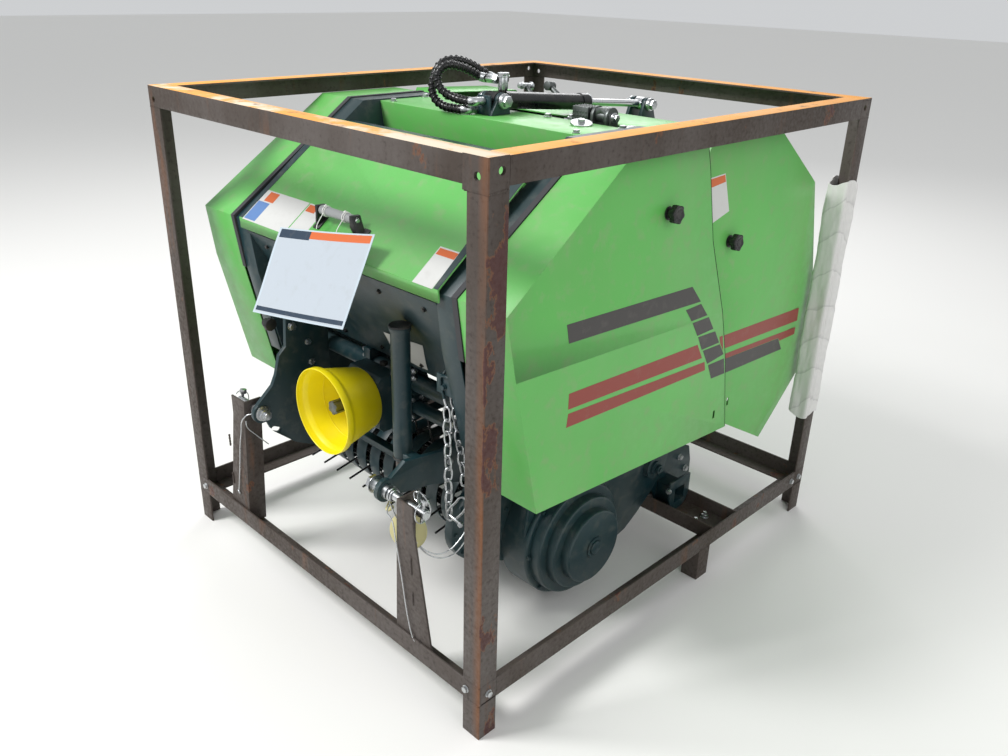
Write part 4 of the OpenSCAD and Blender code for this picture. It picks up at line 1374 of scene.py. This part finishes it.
@dataclass
class Hitch:
    """The lower hitch: plates, link pins with their clips, stand, gearbox and the shaft's guard."""

    pin_y: float = -655
    pin_z: float = 458
    shaft_z: float = 550

    def build(self) -> None:
        """Finish the hitch, and add its guard, shaft, fasteners, clips and wires."""
        for node in ("hitch_plate_right", "hitch_plate_left", "hitch_crossbar", "cross_tube", "gearbox", "stand_tube"):
            eased(node, [Stuff.DARK], 1.0)
        coat(Stuff.DARK, "drive_tube")
        coat(Stuff.IRON, "stand_leg")
        coat(Stuff.ZINC, "hitch_pins")
        self.guard()
        self.shaft()
        self.hardware()
        self.clips()
        self.cords()

    def guard(self) -> None:
        """Turn the shaft's yellow guard: a stepped cone with a rolled lip and a rib inside."""
        form = Form()
        profile = [
            (104.2, 0), (105, -0.8), (106.4, -0.6), (107, 0.6), (107, 14), (105.5, 17), (99.4, 25), (98.9, 28),
            (78, 116), (76.5, 119.4), (74, 120), (30, 120), (30, 117), (73, 117), (75.2, 114.5), (96, 28), (96.3, 25),
            (102.6, 16.5), (104, 13.5), (104, 1), (104.2, 0),
        ]
        form.lathe(profile, (0, -640, self.shaft_z), (0, 1, 0), 96)
        form.ring((0, -576, self.shaft_z), (0, 1, 0), 86.6, 0.9, 96)
        for i in range(4):
            across, up = about(52, 45 + 90 * i)
            form.bolt((across, -522.8, self.shaft_z + up), (0, -1, 0), 10, 1)
        form.piece("shaft_guard", "frame", [Stuff.YELLOW_PLASTIC, Stuff.ZINC], "guard_plastic", ["pto_guard"], 40)

    def shaft(self) -> None:
        """Mill the drive shaft's six splines and its locking groove."""
        form = Form()
        for start, end, radius, ease in (
            (-610, -582, 14.5, 1.2), (-582, -574, 12.5, 0.4), (-574, -520, 14.5, 0.4), (-520, -450, 19.5, 0.5),
        ):
            form.bar((0, start, self.shaft_z), (0, end, self.shaft_z), radius, 36, ease)
        for i in range(6):
            a = 60 * i
            spoke = Vector((math.sin(math.radians(a)), 0, math.cos(math.radians(a))))
            for y, length in ((-596, 26), (-547, 52)):
                form.block(Vector((0, y, self.shaft_z)) + spoke * 15.2, (8, length, 4.6), (0, a, 0), 0.5)
        form.piece("splined_shaft", "pto_shaft", [Stuff.CAST], "bright_steel", ["pto_shaft"])

    def hardware(self) -> None:
        """Add the nuts, bolts and clamp fasteners."""
        form = Form()
        y, z = self.pin_y, self.pin_z
        form.bolt((-250, y, z), (1, 0, 0), 30, 0, 12)
        form.bar((-262.5, y, z), (-276, y, z), 19, 36, 1)
        form.bar((250, y, z), (224, y, z), 14, 32, 1)
        form.bolt((224, y, z), (-1, 0, 0), 32, 0, 6)
        form.ring((283, y, z), (1, 0, 0), 14, 3, 32)
        form.ring((290, y, z), (1, 0, 0), 13, 2.2, 32)
        # Columns: across, along, height, direction across, size
        for *at, side, size in (
            (-250, -508, 618, 1, 13), (-250, -552, 672, 1, 17), (-250, -470, 350, 1, 13), (-262, -508, 618, -1, 13),
            (-250, -501, 560, 1, 13), (262, -440, 500, 1, 15), (262, -470, 462, 1, 13), (250, -440, 540, -1, 13),
        ):
            form.bolt(at, (side, 0, 0), size)
        for side in (-1, 1):
            for up in (608, 626.2):
                form.bolt((side * 93, -436, up), (side, 0, 0), 13, 0, 5)
            form.bolt((side * 79, -420, 636), (0, 0, 1), 15, 0, 6)
        for x in (-46, 46):
            for up in (498, 536):
                form.bolt((x, -519, up), (0, -1, 0), 12)
        for a in range(0, 360, 60):
            along, up = about(26, a)
            form.bolt((78, -414 + along, 518 + up), (1, 0, 0), 9)
            form.bolt((-78, -414 + along, 518 + up), (-1, 0, 0), 9)
        form.piece("hitch_fasteners", "frame", [Stuff.ZINC], "bright_steel")
        form = Form()
        form.bar((-250, -625, 701), (-236, -625, 701), 11, 24, 1.5)
        form.bar((-236, -625, 701), (-222, -625, 701), 17, 8, 3)
        form.bar((0, -453, 618), (0, -453, 626), 11, 6, 0.8)
        form.bar((-30, -519, 590), (-30, -526, 590), 8, 6, 0.8)
        form.lathe([(0, 0), (24, 0), (25.5, 1.5), (25.5, 3), (24, 4.5), (0, 4.5)], (203, -560, 804.6), (0, 0, 1), 40)
        # Two small black discs on the stand tube stand for its holes: their black is painted shade
        for up in (746, 690):
            form.bar((182, -567, up), (178.6, -569, up), 5, 20, 0.4)
        form.ring((203, -560, 486), (0, 0, 1), 22.2, 1.8, 40)
        form.piece("hitch_black_parts", "frame", [Stuff.BLACK_PLASTIC], "black_plastic")
        form = Form()
        form.bead((225, -570, 502), (249, -574, 502), 2.4)
        form.bead((-249, -490, 409), (-249, -466, 409), 2.8)
        form.bead((249, -490, 409), (249, -466, 409), 2.8)
        for x in (-352, 352):
            for a in range(0, 360, 18):
                (y0, z0), (y1, z1) = about(24.5, a), about(24.5, a + math.degrees(0.3))
                form.bead((x, -420 + y0, 590 + z0), (x, -420 + y1, 590 + z1), 2.6)
        form.piece("hitch_welds", "frame", [Stuff.DARK], "dark_paint")

    def clips(self) -> None:
        """Add the lynch pins, their rings, the square wire clip, the toggle and the round disc."""
        form = Form()
        for side, x in ((1, 385), (-1, -352)):
            y, z = self.pin_y, self.pin_z
            form.bar((x, y + 3, z + 22), (x, y - 3, z - 22), 4, 20, 0.8)
            form.bar((x, y + 4, z + 20), (x, y + 6, z + 32), 9, 28, 1.6)
            form.ring((x + side * 2, y - 2, z + 4), (1, 0.15, 0.1), 24, 1.3, 40)
        square = [(366, -650, 474), (368, -652, 502), (384, -656, 506), (408, -655, 488), (404, -652, 466)]
        form.tube(square, 1.6, 0, closed=True)
        form.tube([(366, -650, 498), (356, -652, 496), (358, -655, 484), (368, -656, 480)], 1.6)
        toggle = [(262, -640, 436), (268, -655, 424), (274, -664, 421), (283, -666, 424), (291, -662, 433)]
        form.tube(toggle, 4.2, 1, sides=4)
        form.piece("link_pin_clips", "frame", [Stuff.ZINC, Stuff.CREAM_PLASTIC], "bright_steel")
        form = Form()
        disc = [(0, 0), (40, 0), (44, 2), (45, 5), (44, 8), (40, 10), (12, 10), (10, 7), (0, 7)]
        form.lathe(disc, (292, -618, 354), (0.5, -0.9, 0.3), 48)
        form.bar((298, -629, 357.5), (300, -632, 358.7), 9, 24, 0.8, stuff=1)
        form.piece("round_disc", "frame", [Stuff.CREAM_PLASTIC, Stuff.ZINC], "bright_steel")

    def cords(self) -> None:
        """Hang the thin wires between the pins, the disc and the crate."""
        form = Form()
        routes = (
            ((288, -669, 440), (300, -684, 432), (318, -687, 425), (330, -687, 380), (347, -687, 296), (372, -687, 169),
             (384, -686, 134)),
            ((288, -668, 446), (300, -660, 410), (298, -640, 372), (295, -634, 356)),
            ((293, -640, 368), (318, -622, 338), (340, -597, 306), (354, -565, 299), (362, -532, 318), (350, -490, 348),
             (319, -470, 366)),
            ((292, -640, 364), (316, -620, 330), (340, -592, 294), (358, -558, 286), (368, -524, 308), (354, -484, 342),
             (319, -470, 361)),
            ((-276, -668, 452), (-288, -684, 446), (-318, -686.5, 383), (-345, -686.5, 270), (-366, -686.5, 184)),
            ((-290, -684, 430), (-300, -676, 405), (-302, -655, 378), (-296, -622, 338)),
        )
        for route in routes:
            form.tube(route, 1.5, 0)
        for at in ((384, -685, 134), (-366, -686, 184)):
            form.ring(at, (0.2, 1, 0.3), 6, 1.4, 24, 0)
        form.piece("retaining_wires", "frame", [Stuff.ZINC], "bright_steel")


@dataclass
class Chains:
    """The two hanging chains, with welded round-wire links."""

    # Columns: across, along and height of the top link, lean to the rear, number of links
    table: Sequence[Point] = ((318, -515, 706, 8.5, 10), (342, -548, 640.5, 1.3, 9))
    pitch: float = 30.0
    wire: float = 2.5
    half: float = 9.0
    bend: float = 8.5

    def build(self) -> None:
        """Link the chains and add the hooks that hold them."""
        eased("chain_bracket", [Stuff.DARK], 0.8)
        form = Form()
        for x, y, z, lean, count in self.table:
            for i in range(int(count)):
                # A link is two half circles, drawn apart by the straight sides
                round_link = [about(self.bend, 30 * k + 15) for k in range(12)]
                dots = [Vector((across, 0, up + math.copysign(self.half, up))) for across, up in round_link]
                swing = 6 * math.sin(i * 1.7 + x)
                turn = Matrix.Rotation(math.radians(90 * (i % 2) + swing), 4, "Z")
                at = pose((x, y, z), (lean, 0, 0)) @ Matrix.Translation((0, 0, -self.pitch * i)) @ turn
                form.tube([at @ dot for dot in dots], self.wire, 0, closed=True, sides=2)
        form.piece("hanging_chains", "frame", [Stuff.ZINC], "bright_steel", ["chain"], 60)
        form = Form()
        # Bent black rod on the bracket, with the bright eyes that the chains hang from
        rod = [(349, -549, 726), (336, -549, 727), (324, -549, 722), (323, -549, 708), (327, -549, 692),
               (336, -549, 670)]
        form.tube(rod, 2.8, 1)
        form.tube([(334, -549, 674), (338, -549, 666), (342, -548, 656)], 3.4)
        form.tube([(318, -515, 721), (318, -520, 728), (318, -530, 728), (318, -541, 716)], 2.8, 1)
        form.tube([(318, -475, 424), (321, -464, 414), (318, -459, 392), (316, -466, 374)], 2.8)
        # Spring hook through the last link, and its pin
        hook = [(339, -546, 384), (345, -546, 400), (366, -545, 428), (384, -543, 449), (395, -541, 448),
                (396, -541, 430), (380, -543, 402), (358, -545, 380), (345, -546, 374)]
        form.tube(hook, 2.6, closed=True, sides=2)
        form.bar((352, -549, 391), (390, -545, 378), 3.6, 20, 0.8)
        form.bar((380, -546, 381.4), (388, -545.2, 378.7), 7.0, 6, 0.8)
        form.bolt((331, -546, 700), (0, -1, 0), 11, 1)
        form.piece("chain_hooks", "frame", [Stuff.ZINC, Stuff.DARK], "bright_steel")


# ---------------------------------------------------------------- chamber and pickup


@dataclass
class Chamber:
    """The chamber's plates, walls, rollers and the tailgate."""

    middle: Point = (30, 700)  # of the bale, along and up
    roller_ring: float = 330
    wall_out: Point = (0, -265, -150)  # square to the front wall

    def build(self) -> None:
        """Finish the plates and add bearings and bolts."""
        for node in (
            "side_plates", "front_wall", "gate_plates", "gate_hinge_arms", "gate_hinge_bosses", "rear_legs",
            "axle_sockets",
        ):
            eased(node, [Stuff.DARK], 0.8)
        eased("gate_shell", [Stuff.GREEN], 1.2)
        coat(Stuff.ROLLER, "front_rollers", "gate_rollers")
        self.bearings()
        self.wall_sheet()
        self.rear_trim()
        self.feet()

    def bearings(self) -> None:
        """Add a flanged bearing outside the plates at each roller's end."""
        for name, body, angles in (
            ("front_bearings", "frame", (110, 140, 170, 200)), ("gate_bearings", "tailgate", (60, 30, 0, -30)),
        ):
            form = Form()
            for a in angles:
                y, z = (middle + off for middle, off in zip(self.middle, about(self.roller_ring, a)))
                for side in (1, -1):
                    form.bar((side * 361, y, z), (side * 368, y, z), 30, 32, 1.2)
                    form.bar((side * 368, y, z), (side * 378, y, z), 20, 32, 2)
                    form.bar((side * 378, y, z), (side * 382, y, z), 9, 24, 0.6, 1)
                    for k in range(3):
                        along, up = about(25, a + 60 + 120 * k)
                        form.bolt((side * 368, y + along, z + up), (side, 0, 0), 7, 1)
            form.piece(name, body, [Stuff.DARK, Stuff.ZINC], "dark_paint")

    def wall_sheet(self) -> None:
        """Lay the crumpled blank sheet on the front wall, and the wall's bolts."""
        a, b, c, d = (Vector(p) for p in ((56, -492, 732), (208, -500, 746), (163, -449, 656), (45, -449, 657)))
        out = Vector(self.wall_out).normalized()
        part = bmesh.new()
        bmesh.ops.create_grid(part, x_segments=14, y_segments=10, size=0.5)
        for v in part.verts:
            u, w = v.co.x + 0.5, v.co.y + 0.5
            flat = d.lerp(c, u).lerp(a.lerp(b, u), w)
            v.co = flat + out * (1.6 + 1.3 * wander.noise(flat * 0.03))
        form = Form()
        form.take(part)
        form.piece("wall_sheet", "frame", [Stuff.WHITE_FILM], "card", smooth=60)
        form = Form()
        for x in (-300, -150, 0, 150, 300):
            for share in (0.12, 0.9):
                form.bolt(Vector((x, -590 + 150 * share, 905 - 265 * share)) + out * 0.2, out, 9)
        form.piece("wall_bolts", "frame", [Stuff.BLACK_PAINT], "dark_paint")

    def rear_trim(self) -> None:
        """Add the bolts that fix the tailgate's shell and its hinge arms."""
        form = Form()
        line = [(160, 1165), (345, 1161), (545, 1117), (589, 1008), (655, 712), (655, 478), (500, 330)]
        for a, b in zip(line, line[1:]):
            start, end = Vector((0, *a)), Vector((0, *b))
            way = (end - start).normalized()
            out = Vector((0, -way.z, way.y))
            for share in (0.2, 0.8):
                for x in (-338, 338):
                    form.bolt(start.lerp(end, share) + Vector((x, 0, 0)) + out * 0.1, out, 9)
        form.piece("shell_bolts", "tailgate", [Stuff.ZINC], "bright_steel")
        form = Form()
        for side in (1, -1):
            form.bolt((side * 373, 28, 1118), (side, 0, 0), 24, 0, 6)
            form.bolt((side * 379, 135, 1080), (side, 0, 0), 15)
        form.piece("gate_pin_bolts", "tailgate", [Stuff.ZINC], "bright_steel")

    def feet(self) -> None:
        """Add the bolts and welds of the rear legs and axle sockets."""
        form = Form()
        for side in (1, -1):
            for y, z in ((140, 385), (215, 385), (230, 300), (330, 220), (365, 170)):
                form.bolt((side * 380, y, z), (side, 0, 0), 15)
            form.bar((side * 436, 229, 192), (side * 436, 224, 192), 4, 20, 0.5)
            form.bolt((side * 436, 207, 178), (0, -1, 0), 13)
        form.piece("leg_bolts", "frame", [Stuff.ZINC], "bright_steel")
        form = Form()
        for side in (1, -1):
            socket = ((226, 123), (284, 123), (284, 181), (226, 181))
            for a, b in zip(socket, (*socket[1:], socket[0])):
                form.bead((side * 431, *a), (side * 431, *b), 2.4)
            form.bead((side * 377, 303, 105), (side * 377, 225, 105), 3)
        form.piece("leg_welds", "frame", [Stuff.DARK], "dark_paint")


@dataclass
class Pickup:
    """The pickup: reel with coiled spring tines, stripper bands, drive case and stepped drum cover."""

    reel: Point = (-325, 290)  # its axle, along and up
    bar_r: float = 78
    first: float = 192  # angle of the first tine bar
    tine_x: float = -296
    pitch: float = 58.6
    tines: int = 10
    bolt_rings: Sequence[Point] = (  # columns: across, middle along and up, radius, direction across
        (400.2, -178, 195, 157, 1), (315, -414, 295, 84, 1), (-354.5, -325, 290, 60, -1),
    )

    def build(self) -> None:
        """Finish the pickup and add its coils and bolts."""
        for node in ("pickup_bands", "pickup_frame", "pickup_arm"):
            eased(node, [Stuff.DARK], 0.6)
        coat(Stuff.DARK, "pickup_covers")
        coat(Stuff.BLACK_PAINT, "pickup_reel")
        form = Form()
        for row in range(4):
            way = about(1, self.first + 90 * row)
            y, z = (middle + self.bar_r * part for middle, part in zip(self.reel, way))
            for k in range(self.tines):
                x = self.tine_x + k * self.pitch
                for i in range(4):
                    form.ring((x + 3 + i * 4.4, y, z), (1, 0, 0), 12.2, 2.2, 14)
                form.bolt((x + 24, y + 9 * way[0], z + 9 * way[1]), (0, *way), 8, 1)
        form.piece("tine_coils", "pickup_reel", [Stuff.BLACK_PAINT, Stuff.ZINC], "dark_paint")
        form = Form()
        for k in range(self.tines + 1):
            x = self.tine_x + (k - 0.5) * self.pitch
            for way in (1, -1):
                form.bolt((x, -167, self.reel[1] + way * 103), (0, 0, way), 10)
        for a in range(0, 360, 45):
            for x, y, z, radius, way in self.bolt_rings:
                along, up = about(radius, a)
                form.bolt((x, y + along, z + up), (way, 0, 0), 9)
        form.bolt((412, 169, 257), (1, 0, 0), 24, 0, 4)
        form.bar((480, -178, 195), (487, -178, 195), 18, 36, 1.0)
        form.bar((-354.5, *self.reel), (-364, *self.reel), 22, 36, 1.2)
        form.piece("pickup_bolts", "frame", [Stuff.DARK], "dark_paint")


# ---------------------------------------------------------------- the stage


@dataclass
class Studio:
    """Camera at the photograph's angle, pale floor and soft lights."""

    eye: Point = (1.6255, -1.6817, 1.4990)  # metres
    azimuth: float = 44.536  # degrees, as the next two
    elevation: float = 24.264
    roll: float = 1.55
    lens: float = 31.876  # mm
    floor: str = "#ecebe8"

    def build(self) -> None:
        """Set up the camera, floor, lights and view."""
        scene = bpy.context.scene
        scene.view_settings.view_transform = "Standard"
        self.camera(scene)
        self.ground()
        self.lights(scene)

    def camera(self, scene: bpy.types.Scene) -> None:
        """Place the camera."""
        lens = bpy.data.cameras.new("photo_camera")
        lens.lens, lens.sensor_width, lens.clip_end = self.lens, 36, 100  # mm, mm and metres
        eye = bpy.data.objects.new("photo_camera", lens)
        az, el, roll = (math.radians(a) for a in (self.azimuth, self.elevation, self.roll))
        back = Vector((math.sin(az) * math.cos(el), -math.cos(az) * math.cos(el), math.sin(el)))
        right = Vector((math.cos(az), math.sin(az), 0))
        up = back.cross(right)
        across = math.cos(roll) * right + math.sin(roll) * up
        above = -math.sin(roll) * right + math.cos(roll) * up
        turn = Matrix((across, above, back)).transposed()
        eye.matrix_world = Matrix.Translation(self.eye) @ turn.to_4x4()
        scene.collection.objects.link(eye)
        scene.camera = eye

    def ground(self) -> None:
        """Lay the pale floor."""
        part = bmesh.new()
        bmesh.ops.create_grid(part, x_segments=1, y_segments=1, size=30)
        data = bpy.data.meshes.new("floor")
        part.to_mesh(data)
        part.free()
        made = bpy.data.objects.new("floor", data)
        bpy.context.scene.collection.objects.link(made)
        data.materials.append(PlainFloor("pale_floor", self.floor).build())

    def lights(self, scene: bpy.types.Scene) -> None:
        """Light the machine softly from the photo's sun side, with fill from the sky."""
        world = bpy.data.worlds.new("sky")
        scene.world = world
        world.use_nodes = True
        sky = world.node_tree.nodes["Background"].inputs
        sky["Color"].default_value = (0.96, 0.98, 1.0, 1)
        sky["Strength"].default_value = 0.64
        # Columns: name, place and aim in metres, size in metres, power in watts
        for name, at, aim, size, power in (
            ("key", (-1.6, -3.4, 4.6), (0, 0, 0.5), 1.6, 240),
            ("fill", (4.2, -0.6, 2.6), (0, 0, 0.6), 3.0, 42),
            ("rim", (-2.5, 3.5, 3.5), (0, 0, 0.7), 2.5, 70),
        ):
            lamp = bpy.data.lights.new(name, "AREA")
            lamp.size, lamp.energy = size, power
            made = bpy.data.objects.new(name, lamp)
            way = Vector(aim) - Vector(at)
            made.matrix_world = Matrix.Translation(at) @ way.to_track_quat("-Z", "Y").to_matrix().to_4x4()
            scene.collection.objects.link(made)


def main() -> None:
    """Build the scene."""
    logging.basicConfig(level=logging.INFO, format="%(name)s %(message)s")
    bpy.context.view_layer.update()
    Studio().build()
    for part in (Crate(), Covers(), Hood(), Cylinder(), TwineDrive(), Hitch(), Chains(), Chamber(), Pickup()):
        part.build()
        log.info("%s is built", type(part).__name__)


if __name__ == "__main__":
    main()
